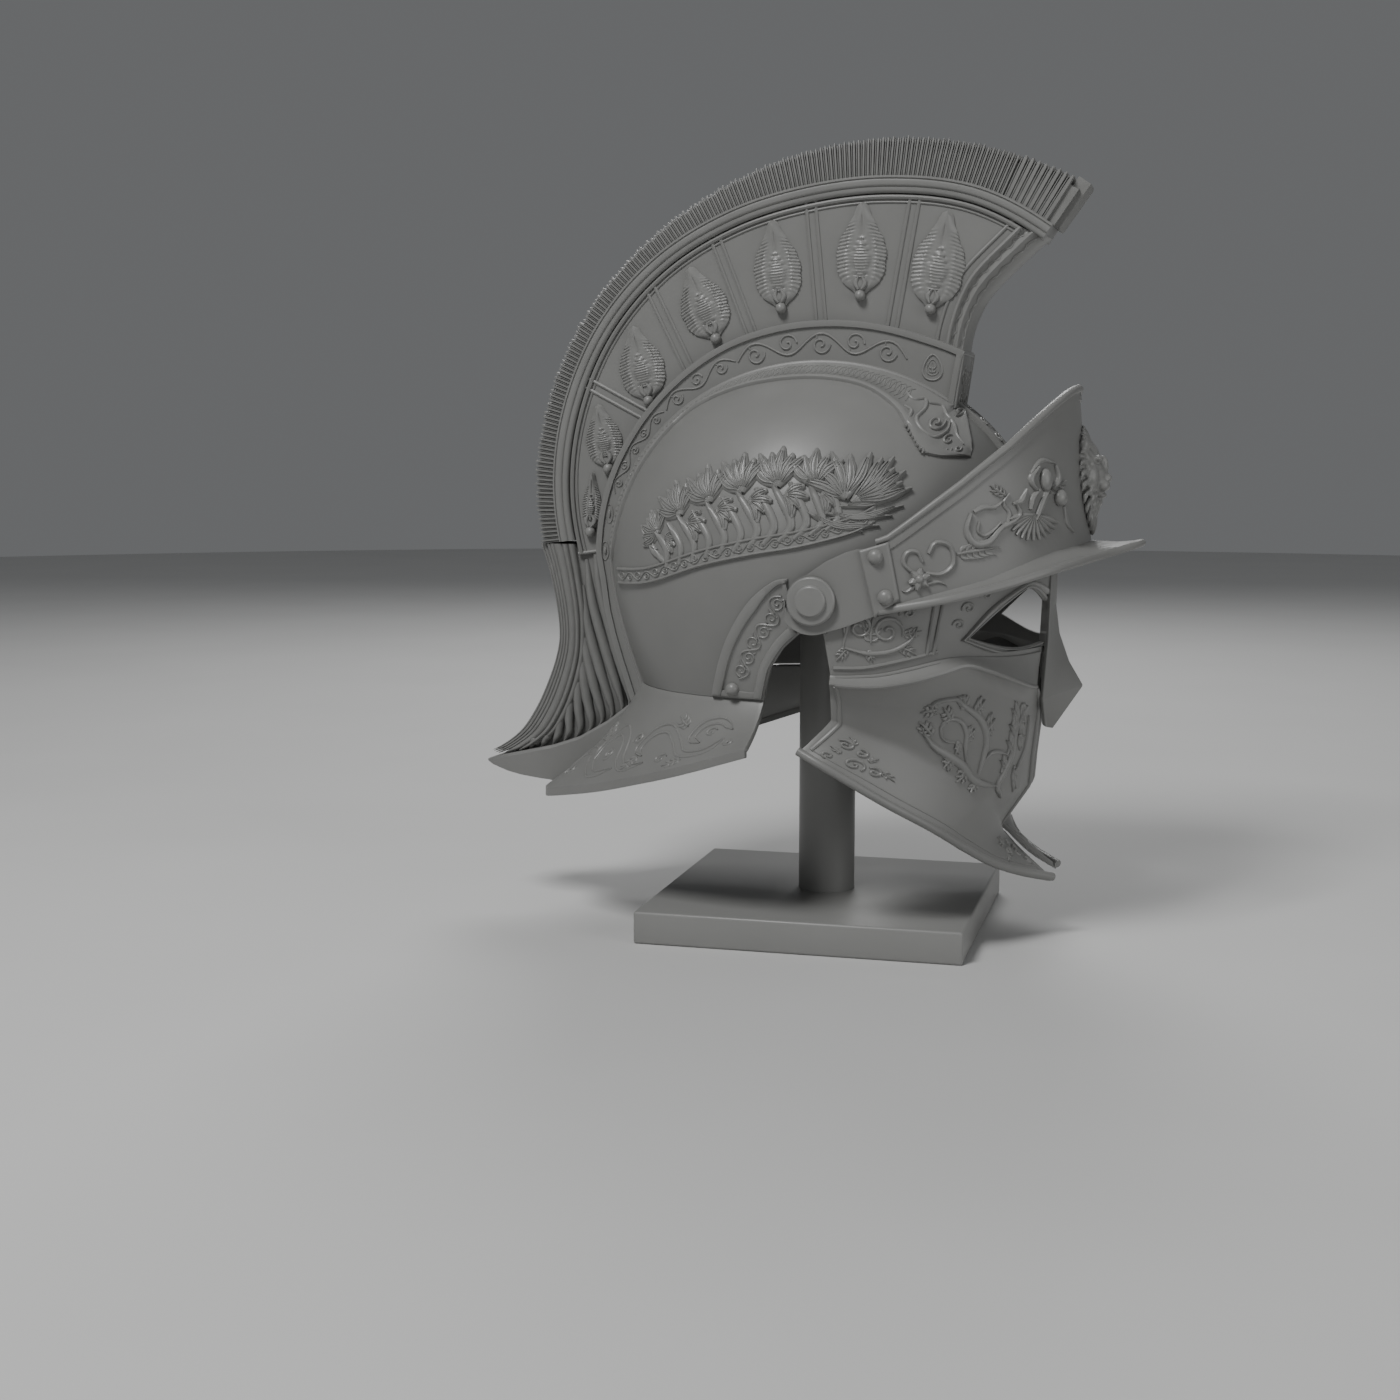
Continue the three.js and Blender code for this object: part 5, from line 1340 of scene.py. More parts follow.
def strand_rings(low, high, half, end, y=0.0, groove=STRAND_GROOVE):
    """A slab with swelling sides: its side profile runs from the outer to the inner line."""
    for share in np.linspace(0, end, 70):
        a, b = (tail_outer(share) * (1 - k) + tail_inner(share) * k for k in (low, high))
        close = min(1.0, sqrt(max(1 - share / end, 0) * 14) + 0.08)
        middle, reach = (a + b) / 2, (b - a) / 2 * close
        width = half * (0.72 + 0.28 * close) - groove * SIDE_SHARE**2
        right = places(middle[0] + reach[0] * SIDE_SHARE, y - width, middle[1] + reach[1] * SIDE_SHARE)
        yield np.vstack([right, (right * (1, -1, 1) + (0, 2 * y, 0))[::-1]])


strands = [loft(f"strand_{number}", list(strand_rings(*row))) for number, row in enumerate(STRANDS)]
for number, y in enumerate(np.linspace(-9.6, 9.6, 5)):
    end = 0.97 - 0.012 * (number % 3)
    strands.append(loft(f"outer_strand_{number}", list(strand_rings(0, 0.13, 2.7, end, y, 1.6))))
tail = joined("trailing_plume", *strands)
hand_over(tail, "plume_bristle", "plume_tail", angle=45)

# %% [markdown]
# ## Drooping locks
# Between the strands and the skull a fan of pointed locks droops onto the tail plate. One lock is a
# tapered tube along a curve. They start on the inner strand one below the other, and there is one
# set on each side and one in the middle over a closed core.

# %% Drooping locks
LOCKS = [  # start x, z, tip x, z
    (-134.5, 214, -116.5, 118.5), (-139.5, 205, -121, 115.5), (-142, 190, -127, 111.5),
    (-142.5, 174, -133, 108), (-143, 159, -139.5, 104), (-145, 145, -146.5, 101), (-149, 133, -153.5, 98.6),
    (-154, 122, -160.5, 96.4), (-160, 112, -167.5, 94.8), (-167, 104.5, -175, 93.2),
]
droop = Carving()
for start_x, start_z, tip_x, tip_z in LOCKS:
    drop = start_z - tip_z
    for y, size in ((-13.6, 1.0), (-7, 0.92), (0, 0.96), (7, 0.92), (13.6, 1.0)):
        path = smooth_line([(start_x, y * 0.94, start_z),
                            (start_x + (tip_x - start_x) * 0.2, y, start_z - drop * 0.28),
                            (start_x + (tip_x - start_x) * 0.62 + 1.2, y * 1.04, start_z - drop * 0.62),
                            (tip_x + 3.0, y * 1.08, tip_z + 6.0), (tip_x - 0.4, y * 1.08, tip_z - 0.6)])
        thick = 2.7 * size * (0.75 + 0.25 * min(1.0, drop / 60))
        droop.tube(path(np.linspace(0, 1, 26)),
                   [0.5 * thick, thick, 1.15 * thick, 1.15 * thick, 0.9 * thick, 0.25], sides=10, flat=1.25)
LOCK_ROWS = [(213, -149, -134), (190, -146, -130), (167, -144, -126.5), (150, -144, -122.5),
             (133, -147, -118), (119, -151, -114), (108, -159, -120), (98, -169, -142), (93.5, -177, -158)]
core_rings = []
for z, outer, inner in LOCK_ROWS:
    ends = ((outer - 0.5, -11), (outer + 1, -13), (inner - 2.5, -13.5), (inner - 1, -12))
    core_rings.append([*[(x, y, z) for x, y in ends], *[(x, -y, z) for x, y in ends[::-1]]])
droop_core = loft("droop_core", core_rings)
droop = joined("drooping_locks", droop.piece("droop_tubes"), droop_core)
hand_over(droop, "plume_bristle", "plume_locks", angle=50)

# %% [markdown]
# ## Crest leaves
# Seven acanthus leaves stand on each side of the panel. One leaf is a loft of rings across it: each
# ring goes over the carved top and back along the flat underside. The top's height is a sum of the
# leaf's own forms: the swell, the combed edges, the ribbed heart and the groove to the tip.

# %% Leaves
LEAF_OUTLINE = np.array([(0.02, 0.2), (0.06, 0.34), (0.1, 0.55), (0.15, 0.76), (0.22, 0.92), (0.3, 0.97),
                         (0.4, 1.0), (0.5, 0.98), (0.6, 0.86), (0.68, 0.7), (0.78, 0.5), (0.86, 0.35),
                         (0.93, 0.27), (0.97, 0.2),
                         (1.0, 0.03)])  # share from the ball to the tip, half-width
LEAF_ROWS, LEAF_ACROSS = 90, 31


def soft_step(low, high, value):
    share = np.clip((value - low) / (high - low), 0, 1)
    return share * share * (3 - 2 * share)


def leaf_half(s):
    line = np.interp(s, LEAF_OUTLINE[:, 0], LEAF_OUTLINE[:, 1])
    combed = soft_step(0.12, 0.2, s) * (1 - soft_step(0.78, 0.9, s))
    lobes = 0.05 * np.abs(np.sin(pi * (s * 5.5 + 0.1))) - 0.04
    return line * (1 + combed * (lobes + 0.028 * np.abs(np.sin(pi * s * 24))))


def leaf_height(s, t):
    """Height over the panel at share s along the leaf and t across it, from -1 to 1."""
    side = np.abs(t)
    height = 1.0 + 1.7 * (1 - side**2.2) * soft_step(0, 0.12, s)
    combed = soft_step(0.42, 0.62, side) * soft_step(0.12, 0.2, s) * (1 - soft_step(0.74, 0.84, s))
    height += 0.42 * combed * np.cos(2 * pi * (s * 24 + side * 2.4))
    hollow = soft_step(0.3, 0.42, side) * (1 - soft_step(0.45, 0.6, side))
    height -= 0.5 * hollow * (1 - soft_step(0.6, 0.7, s))
    heart_half = 0.36 * np.sqrt(np.clip(1 - ((s - 0.42) / 0.235) ** 2, 0, 1))
    heart_half = heart_half * (1 - 0.55 * soft_step(0.42, 0.66, s))
    heart = soft_step(0, 0.05, heart_half - side)
    height += heart * (0.75 + 0.3 * np.cos(2 * pi * s * 30))
    height -= 0.8 * soft_step(0.05, 0.0, np.abs(side - heart_half)) * (heart_half > 0.02)
    groove = soft_step(0.62, 0.68, s) * (1 - soft_step(0.86, 0.94, s))
    height -= groove * 0.8 * np.exp(-(side / 0.1) ** 2)
    height += 0.9 * soft_step(0.72, 0.9, s) * (1 - side**2)
    return height


def crest_leaf(name, ball_x, ball_z, tip_x, tip_z, width):
    ball, tip = np.array((ball_x, ball_z), float), np.array((tip_x, tip_z), float)
    ahead = tip - ball
    across = np.array((ahead[1], -ahead[0])) / np.hypot(*ahead)
    t = np.sin(np.linspace(-1, 1, LEAF_ACROSS) * pi / 2)
    rings = []
    for s in np.linspace(0.03, 1, LEAF_ROWS):
        half = leaf_half(s) * width / 2
        sweep = 0.035 * np.abs(t) ** 1.5 * soft_step(0.1, 0.3, s)
        flat_place = ball + ahead * (s + sweep[:, None]) + across * (t * half)[:, None]
        top = places(flat_place[:, 0], -PANEL_HALF - leaf_height(s, t), flat_place[:, 1])
        under = top[[-1, 0]] * (1, 0, 1) + (0, -PANEL_HALF + 0.3, 0)
        rings.append(np.vstack([top, under]))
    blade = loft(name, rings)
    parts = Carving()
    face = flat(PANEL_HALF)
    length = np.hypot(*ahead)
    for side in (-1, 1):
        foot = ball + ahead * (3.0 / length) + across * side * 0.9
        mid = ball + ahead * (6.5 / length) + across * side * 2.6
        end = ball + ahead * (10.2 / length) + across * side * 0.7
        parts.stroke(face, [foot, mid, end], [0.7, 1.5, 0.5], 1.3, sink=-2.4, steps=12)
    parts.bead(face, *ball, (3.0, 3.2, 3.2), lift=1.8, turns=18, rings=12)
    return joined(name, blade, parts.piece(name + "_bud"))


LEAVES = [  # ball x, z, tip x, z, width
    (57.5, 343, 66, 393, 28), (19, 351, 20, 399, 27), (-25, 345, -30, 391, 26), (-62, 329, -77, 367, 27),
    (-101, 295, -110, 335, 26), (-125, 257, -131, 292, 21), (-136, 221, -134.5, 254, 11),
]
for number, row in enumerate(LEAVES, 1):
    leaf = crest_leaf(f"acanthus_right_{number}", *row)
    hand_over_pair(leaf, "trim_metal", f"leaf_right_{number}", angle=50)

# %% [markdown]
# ## Raised bands
# Low bands of scrollwork lie on the skull: round the ear cut, along the crest foot, along the side
# and down the brow. A band is lofted like a moulding: every ring follows the surface and stands off
# it by the heights of one section, and its underside lies just in the skull.

# %% Bands
def band(name, at, section, steps=120, out=OUT, sink=0.5):
    """at(u, v) is a place on the surface; section holds (v, height) from one border to the other."""
    across, heights = np.array(section, float).T
    rings = []
    for u in np.linspace(0, 1, steps):
        share = np.full(len(across), min(max(u, 2e-3), 1 - 2e-3))
        inside = np.clip(across, 2e-3, 1 - 2e-3)
        normals = surface_normals(at, share, inside, out)
        place = at(np.full(len(across), u), across)
        taper = min(1.0, 0.35 + 40 * min(u, 1 - u))
        top = place + normals * (heights * taper)[:, None]
        under = place[[-1, 0]] - normals[[-1, 0]] * sink
        rings.append(np.vstack([top, under]))
    return loft(name, rings)


def centre_frame(line):
    """Local coordinates along a side-view line: mm along it and mm to its left."""
    dense = line(np.linspace(0, 1, 400))
    along = np.concatenate([[0], np.cumsum(np.linalg.norm(np.diff(dense, axis=0), axis=1))])
    ahead = unit(np.gradient(dense, axis=0))

    def place(points):
        points = np.asarray(points, float)
        x, z = (np.interp(points[:, 0], along, dense[:, k]) for k in (0, 1))
        tx, tz = (np.interp(points[:, 0], along, ahead[:, k]) for k in (0, 1))
        return places(x - tz * points[:, 1], z + tx * points[:, 1])
    return place, along[-1]


def running_scroll(carving, surface, line, half, pitch, width, height, out=OUT, margin=2.0, leaves=3):
    """A wavy stem whose every swing sends out a spiral with a few small leaves."""
    place, length = centre_frame(line)
    count = max(1, round((length - 2 * margin) / pitch))
    pitch = (length - 2 * margin) / count
    for number in range(count):
        side = 1 if number % 2 else -1
        start = margin + number * pitch
        reach = min(half * 0.66, pitch * 0.42)
        stem = [(start + pitch * s, side * half * 0.62 * sin(pi * s))
                for s in np.linspace(-0.08, 1.08, 9)]
        carving.stroke(surface, place(stem), [width * 0.7, width, width * 0.7], height, out=out, steps=18)
        curl = spiral((start + pitch * 0.52, -side * half * 0.12), reach, 180 if side < 0 else -180,
                      -side * -1.25, inner=0.16, points=18)
        carving.stroke(surface, place(curl), [width * 0.9, width * 0.75, width * 0.95], height, out=out,
                       steps=34)
        for leaf in range(leaves):
            turn = radians((-60 + 45 * leaf) * -side)
            root = (start + pitch * 0.52 + reach * 0.75 * cos(turn),
                    -side * half * 0.12 + reach * 0.75 * sin(turn) * 1.0)
            tip = (root[0] + reach * 0.75 * cos(turn * 1.35), root[1] + reach * 0.55 * sin(turn * 1.35))
            tip = (tip[0], float(np.clip(tip[1], -half, half)))
            middle = ((root[0] + tip[0]) / 2, (root[1] + tip[1]) / 2)
            carving.stroke(surface, place([root, middle, tip]), [width * 0.3, width * 0.85, width * 0.15],
                           height * 0.8, out=out, steps=8)


def lifted(at, height, out=OUT):
    """The same surface, moved out by a height, so that carving can stand on a band's field."""
    def place(a, b):
        return at(a, b) + surface_normals(at, a, b, out) * height
    return place


# %% [markdown]
# ## Ear trims
# The trim round each ear cut has a wide flat border outside, a sunk field with a running scroll, a
# narrow border along the cut and one round rivet at its foot.

# %% Ear trim and rivet
EAR_OUTER = smooth_line([(-46.9, 137.6), (-40.8, 157.5), (-33.7, 173.5), (-22.6, 189.8), (-9.4, 200.5),
                         (-1, 202.6)])
EAR_INNER = even_line(np.vstack([
    smooth_line([(-17.8, 137.6), (-16, 144.6), (-12.6, 155.2), (-4.6, 167), (3.2, 174.2)])(
        np.linspace(0, 1, 30)),
    smooth_line([(1, 178.5), (-2, 185), (-0.8, 193)])(np.linspace(0, 1, 10))]))


def ear_place(u, v):
    outer, inner = EAR_OUTER(u), EAR_INNER(u)
    x, z = (outer + (inner - outer) * v[:, None]).T
    return on_skull(x, z)


EAR_SECTION = [(0, 0.2), (0.01, 1.9), (0.03, 2.3), (0.17, 2.3), (0.195, 2.0), (0.21, 0.9), (0.5, 0.9),
               (0.82, 0.9), (0.84, 1.9), (0.86, 2.2), (0.97, 2.2), (0.99, 1.9), (1.0, 0.2)]
ear = band("ear_scroll_trim_right", ear_place, EAR_SECTION, 130)
trims = Carving()
field = lifted(on_skull, 0.9)
foot_edge = [tuple(EAR_OUTER(0.035) + (EAR_INNER(0.03) - EAR_OUTER(0.035)) * s) for s in (0.02, 0.98)]
trims.stroke(field, foot_edge, 1.9, 1.3, steps=14, square=0.4, smooth=False)
top_edge = [tuple(EAR_OUTER(0.97) + (EAR_INNER(0.985) - EAR_OUTER(0.97)) * s) for s in (0.05, 0.95)]
trims.stroke(field, top_edge, 1.2, 1.2, steps=10, square=0.4, smooth=False)
middle = even_line(np.array([EAR_OUTER(s) * 0.48 + EAR_INNER(s) * 0.52 for s in np.linspace(0.13, 0.93, 40)]))
running_scroll(trims, field, middle, 6.0, 8.6, 0.75, 0.9)
ear = joined("ear_scroll_trim_right", ear, trims.piece("ear_scrolls"))
hand_over_pair(ear, "trim_metal", "ear_trim_right", angle=45)

RIVET_X, RIVET_Z = -33.9, 142.5
turn = np.linspace(0, 2 * pi, 28, endpoint=False)
seat = on_skull(np.array([RIVET_X]), np.array([RIVET_Z]))[0]
normal = surface_normals(on_skull, np.array([RIVET_X]), np.array([RIVET_Z]), (0, -1, 0))[0]
level = np.cross(normal, (0, 0, 1))
level /= np.linalg.norm(level)
upright = np.cross(level, normal)
rivet = loft("ear_stud_right", [seat + normal * rise + radius * (np.cos(turn)[:, None] * level
                                                                + np.sin(turn)[:, None] * upright)
                                for rise, radius in stud_profile((0.2, 3.5), 1.4, 3.7)])
hand_over_pair(rivet, "trim_metal", "ear_rivet_right")

# %% [markdown]
# ## Crown bands
# Along the foot of the box a flat band with fine waves follows the skull, and in front it drops into
# a lobed tab with ribbons, curls and a ribbed border. Its two edges are lines on an egg, so points
# between them are found by mixing directions from the egg's middle. Mixing places would make the
# band sink into the skull.

# %% Crown band
CROWN_INNER_HALF = 22.6
crown_outer = even_line(np.vstack([
    smooth_line([(-116, 206), (-110, 229), (-98.5, 256.7), (-82.4, 278.6), (-66, 292), (-36.6, 302.2),
                 (-2.8, 305.5), (24.7, 301.5), (43, 291), (52, 280), (58, 270), (63, 265.5),
                 (70, 264)])(np.linspace(0, 1, 120)),
    [(84, 264.2)]]))
crown_inner = even_line(np.vstack([on_crown(CROWN_INNER_HALF, np.linspace(180, 52, 90))[:, [0, 2]],
                                   [(74, 293), (79.5, 281), (84.3, 267.5)]]))


EGG_MIDDLE = (SKULL["x"], 0, SKULL["z"])
EGG_SIZE = (SKULL["length"], SKULL["width"], SKULL["rise"])


def egg_direction(place):
    return unit((place - EGG_MIDDLE) / EGG_SIZE)


def crown_place(u, v):
    outer, inner = on_skull(*crown_outer(u).T), on_skull(*crown_inner(u).T)
    share = v[:, None]
    return unit(egg_direction(outer) * (1 - share) + egg_direction(inner) * share) * EGG_SIZE + EGG_MIDDLE


CROWN_SECTION = [(0, 0.1), (0.015, 1.7), (0.05, 2.1), (0.13, 2.0), (0.16, 1.3), (0.5, 1.3), (0.84, 1.3),
                 (0.9, 1.9), (0.985, 1.9), (1, 0.3)]
crown = band("crown_wave_band_right", crown_place, CROWN_SECTION, 200, out=(0, -1, 0.3))
trims = Carving()
crown_field = lifted(crown_place, 1.3, (0, -1, 0.3))
WAVES = 74
for number in range(WAVES):
    u = 0.015 + number / WAVES * 0.8
    tilt = 0.006
    path = [(u, 0.22), (u + tilt, 0.42), (u + tilt * 0.6, 0.6), (u + tilt * 2.2, 0.8)]
    trims.stroke(crown_field, path, [0.25, 0.6, 0.25], 0.42, sink=0.12, out=(0, -1, 0.3), steps=8)
    path = [(u + 0.0045, 0.78), (u + 0.0045 + tilt, 0.55), (u + 0.0045 + tilt * 1.6, 0.3)]
    trims.stroke(crown_field, path, [0.2, 0.5, 0.2], 0.36, sink=0.12, out=(0, -1, 0.3), steps=7)
tab_field = lifted(on_skull, 1.3)
TAB_RIBBONS = [
    [(48, 297), (52.5, 293.5), (57.5, 294), (59, 289), (56, 283.5), (60, 277.5), (66, 274), (71, 277),
     (71.5, 282)],
    [(60, 291.5), (66, 290.5), (69, 286), (73.5, 281), (76, 275), (79.5, 270)],
    [(49, 290), (53, 287.5), (52, 282.5), (54.5, 279)],
]
for path in TAB_RIBBONS:
    trims.stroke(tab_field, path, [0.5, 1.3, 1.1, 1.3, 1.1, 0.5], 1.2, steps=12 * len(path))
TAB_CURLS = [(65.5, 281.5, 4.2, 20, -1.4), (74, 287.5, 2.4, 250, 1.1), (72.5, 272.5, 2.6, 60, 1.2),
             (77.5, 268, 1.7, 20, -1)]
trims.curls(tab_field, TAB_CURLS, [0.5, 0.9, 0.7], 1.0, steps=30)
for step in range(7):
    x, z = 51.6 + 1.35 * step, 279.5 - 2.0 * step
    trims.stroke(tab_field, [(x, z), (x + 3.0, z + 1.4)], [0.7, 0.6], 0.9, steps=5)
    x = 61.5 + 2.1 * step
    trims.stroke(tab_field, [(x, 265.4), (x + 0.6, 268)], [0.6, 0.5], 0.9, steps=5)
crown = joined("crown_wave_band_right", crown, trims.piece("crown_waves"))
hand_over_pair(crown, "trim_metal", "crown_band_right", angle=45)

# %% [markdown]
# ## Belt and brow strip
# A narrow belt with a running scroll crosses the side of the skull, and one strip of scrollwork runs
# down its middle to the brow, under the foot of the box.

# %% Belt and brow strip
belt_low = smooth_line([(-110, 194), (-82.5, 196.9), (-49.8, 207.1), (-21.4, 213.6), (5, 218.2), (30, 224.9),
                        (42, 231)])
BELT_HEIGHT = 9.2


def belt_place(u, v):
    x, z = belt_low(u).T
    return on_skull(x, z + BELT_HEIGHT * v)


belt = band("belt_scroll_band_right", belt_place, [
    (0, 0.1), (0.03, 1.6), (0.06, 1.9), (0.13, 1.8), (0.17, 0.9), (0.5, 0.9), (0.83, 0.9), (0.87, 1.8),
    (0.94, 1.9), (0.97, 1.6), (1, 0.1)], 150)
trims = Carving()
belt_middle = even_line(belt_low(np.linspace(0.01, 0.99, 60)) + (0, BELT_HEIGHT / 2))
running_scroll(trims, lifted(on_skull, 0.9), belt_middle, 3.1, 6.6, 0.6, 0.9, leaves=2)
belt = joined("belt_scroll_band_right", belt, trims.piece("belt_scrolls"))
hand_over_pair(belt, "trim_metal", "belt_band_right", angle=45)

BROW_HALF = 14


def brow_strip_place(u, v):
    """Down the front of the skull in even steps of its own curve."""
    return on_crown((v * 2 - 1) * BROW_HALF, 52 - 29.5 * u)


brow = band("brow_scroll_strip", brow_strip_place, [
    (0, 0.1), (0.01, 2.4), (0.03, 2.8), (0.1, 2.8), (0.12, 1.9), (0.5, 1.9), (0.88, 1.9), (0.9, 2.8),
    (0.97, 2.8), (0.99, 2.4), (1, 0.1)], 70, out=(1, 0, 0.5))
trims = Carving()
strip_field = lifted(brow_strip_place, 1.9, (1, 0, 0.5))
for number in range(5):
    u = 0.1 + number * 0.2
    for side in (-1, 1):
        curl = [(u + 0.062 * b, 0.5 + side * (0.17 + 0.12 * a))
                for a, b in spiral((0, 0), 1.0, 180 if side > 0 else 0, side * 1.2, points=16)]
        trims.stroke(strip_field, curl, [0.6, 0.9, 0.7], 1.0, out=(1, 0, 0.5), steps=26)
    trims.stroke(strip_field, [(u - 0.08, 0.5), (u, 0.5), (u + 0.07, 0.5)], [0.4, 1.3, 0.3], 1.0,
                 out=(1, 0, 0.5), steps=10)
brow = joined("brow_scroll_strip", brow, trims.piece("brow_scrolls"))
hand_over(brow, "trim_metal", "brow_strip", angle=45)

# %% [markdown]
# ## Feather relief
# The side of the skull carries a large raised ornament. Here it is a generic one: thick stems rise
# from the belt, lean back and open into fans of feathers, and in front a wider fan opens over a
# spray of pointed leaves. Every feather is one thick stroke, and its barbs are thin ones on top.

# %% Feather relief
relief = Carving()


def feather(root, tip, width, height, bend=0.0, barbs=True):
    root, tip = np.array(root, float), np.array(tip, float)
    ahead = tip - root
    across = np.array((-ahead[1], ahead[0]))
    middle = (root + tip) / 2 + across * bend
    relief.stroke(on_skull, [root, middle, tip],
                  [width * 0.4, width * 0.9, width * 1.1, width * 1.05, width * 0.35], height,
                  sink=0.5, steps=18)
    if barbs:
        for side in (-0.5, 0.0, 0.5):
            shift = across / np.hypot(*across) * width * side
            line = [root + ahead * 0.15 + shift * 0.4, middle + shift, tip - ahead * 0.12 + shift * 0.5]
            relief.stroke(on_skull, line, [0.2, 0.5, 0.5, 0.15], 0.5, sink=0.3, lift=height - 0.35, steps=12)


def fan(x, z, reach, start, end, count, width, height, bend=0.06):
    for number, angle in enumerate(np.linspace(start, end, count)):
        turn = radians(angle)
        long = reach * (1 - 0.12 * (number % 2))
        feather((x, z), (x + long * cos(turn), z + long * sin(turn)), width, height - 0.12 * (number % 2),
                bend)


STEMS = [  # foot x, z, bend x, z, head x, z, half-width
    (-70, 204.5, -71, 216, -78, 224, 2.4), (-62, 206.5, -62, 218, -70, 229, 2.2),
    (-54, 208, -54, 220, -64, 233, 2.3), (-46, 210.5, -45, 222, -55, 236, 2.3),
    (-38, 212.5, -36, 224, -47, 240, 2.4), (-30, 214, -27, 226, -38, 243, 2.4),
    (-22, 216, -18, 228, -30, 246, 2.5), (-14, 218, -9, 230, -20, 248, 2.5),
    (-6, 219.5, 0, 231, -11, 250, 2.5), (2, 221, 8, 232, -2, 251, 2.4), (10, 223, 16, 233, 8, 251, 2.3),
    (18, 225.5, 24, 235, 18, 250, 2.2),
]
for foot_x, foot_z, bend_x, bend_z, head_x, head_z, half in STEMS:
    relief.stroke(on_skull, [(foot_x, foot_z + 1.5), (bend_x, bend_z), (head_x, head_z)],
                  [half * 0.7, half, half * 1.05, half * 0.6], 2.3, sink=0.4, steps=22)
FANS = [  # x, z, reach, start and end angle, count, half-width, height
    (-76, 224, 13, 70, 215, 7, 2.5, 2.0), (-62, 234, 18, 62, 175, 6, 3.2, 2.4),
    (-45, 241, 19, 58, 165, 6, 3.4, 2.6), (-27, 246, 20, 55, 150, 6, 3.5, 2.8),
    (-8, 249, 20, 50, 145, 6, 3.6, 2.9), (11, 250, 18, 45, 140, 5, 3.5, 2.9),
]
for x, z, reach, start, end, count, width, height in FANS:
    fan(x, z, reach, start, end, count, width, height)
    fan(x + 4, z - 4, reach * 0.62, start - 120, start - 25, 4, width * 0.85, height - 0.3)
fan(27, 243, 25, 66, 158, 5, 3.4, 3.0, bend=-0.05)
fan(30, 241, 29, 14, 60, 6, 3.3, 3.2, bend=-0.04)
for root, tip in (((16, 236), (50, 234.5)), ((20, 233), (55, 239.5)), ((14, 232), (44, 229.5)),
                  ((24, 239), (52, 244.5)), ((8, 236), (36, 226.5))):
    feather(root, tip, 1.9, 2.2, -0.05)
for x, z in ((-84, 219), (-80, 214), (-76, 211.5)):
    relief.stroke(on_skull, [(x + 7, z - 4), (x, z), (x - 4, z + 7)], [0.6, 1.9, 1.6, 0.3], 1.7, sink=0.4,
                  steps=14)
hand_over_pair(relief.piece("feather_relief_right"), "trim_metal", "dome_relief_right", angle=50)

# %% [markdown]
# ## Lion mask
# The lion's head on the visor is a lump with many soft forms. Pushing single points is slow, so it is
# built as a sculptor builds in clay: balls stretched to the forehead, brows, nose, muzzle, lips and
# beard, with flame-like tufts round them. A voxel Remesh melts them to one skin, then it is smoothed.

# %% Lion mask
def visor_front(y, z):
    return VISOR["x"] + visor_length(z) * sqrt(1 - (y / VISOR["width"]) ** 2)


LION = [  # x, y, z, then the half-sizes along x, y and z; y other than 0 is made on both sides
    (137.5, 0, 253, 7.5, 17.5, 26), (142.5, 0, 262.5, 6, 8.8, 9.5), (145.5, 0, 252, 7, 9, 11),
    (150.2, 0, 258.5, 3.0, 2.6, 6.5), (152.3, 0, 252.6, 3.0, 3.4, 2.7), (147.6, 5.4, 263.2, 3.1, 4.6, 1.9),
    (148.3, 4.7, 259.2, 1.7, 2.0, 1.5), (144.2, 9.2, 253, 4.6, 4.8, 7.5), (150.3, 3.5, 248.6, 4.0, 3.9, 3.3),
    (149.3, 0, 243.4, 3.6, 4.4, 1.7), (147.2, 0, 239.6, 3.4, 4.6, 3.0), (140.5, 12.2, 270.5, 3.0, 3.0, 3.8),
    (142.0, 11.4, 270, 2.4, 1.6, 2.2), (145.3, 0, 231, 2.8, 2.6, 9.5), (143.8, 4.2, 233, 2.8, 2.4, 9.0),
    (142.2, 8.2, 237, 2.8, 2.4, 9.0),
]
balls = []
for x, y, z, length, width, height in LION:
    for side in ((1, -1) if y else (1,)):
        bpy.ops.mesh.primitive_uv_sphere_add(segments=20, ring_count=12, radius=MM,
                                             location=(x * MM, y * side * MM, z * MM),
                                             scale=(length, width, height))
        balls.append(bpy.context.object)
        bpy.ops.object.transform_apply(location=True, scale=True)
tufts = Carving()
MANE_Z, MANE_TOP, MANE_FOOT = 252.5, 276, 221.5  # its middle, where it lies flatter, and its lowest tips
for row, (count, inner_y, inner_z, outer_y, outer_z, radius) in enumerate((
        (26, 12, 17.5, 20.2, 29, 1.75), (22, 9.5, 13, 15.5, 22, 1.6), (20, 5, 9, 11.5, 18, 1.5))):
    for number in range(count):
        turn = 2 * pi * (number + 0.5 * row) / count
        if row == 2 and sin(turn) < 0.3:
            continue
        path = []
        for share in (0, 0.35, 0.7, 1):
            swing = turn + 0.16 * sin(pi * share) * (1 if cos(turn) > 0 else -1)
            y = (inner_y + (outer_y - inner_y) * share) * cos(swing)
            z = MANE_Z + (inner_z + (outer_z - inner_z) * share) * sin(swing)
            rise = (3.4 - 2.4 * share + 2.2 * row) * (1 if z < MANE_TOP else 0.7)
            path.append((visor_front(y, z) + rise, y, max(z, MANE_FOOT)))
        tufts.tube(smooth_line(path)(np.linspace(0, 1, 12)), [radius * 0.9, radius, radius * 0.9, 0.35],
                   sides=8, across=(1, 0, 0))
lion = joined("lion_head", *balls, tufts.piece("lion_tufts"))
modify(lion, "REMESH", mode="VOXEL", voxel_size=0.68 * MM)
modify(lion, "SMOOTH", factor=0.5, iterations=3)
hand_over(lion, "trim_metal", "lion_mask", body="visor", angle=70)

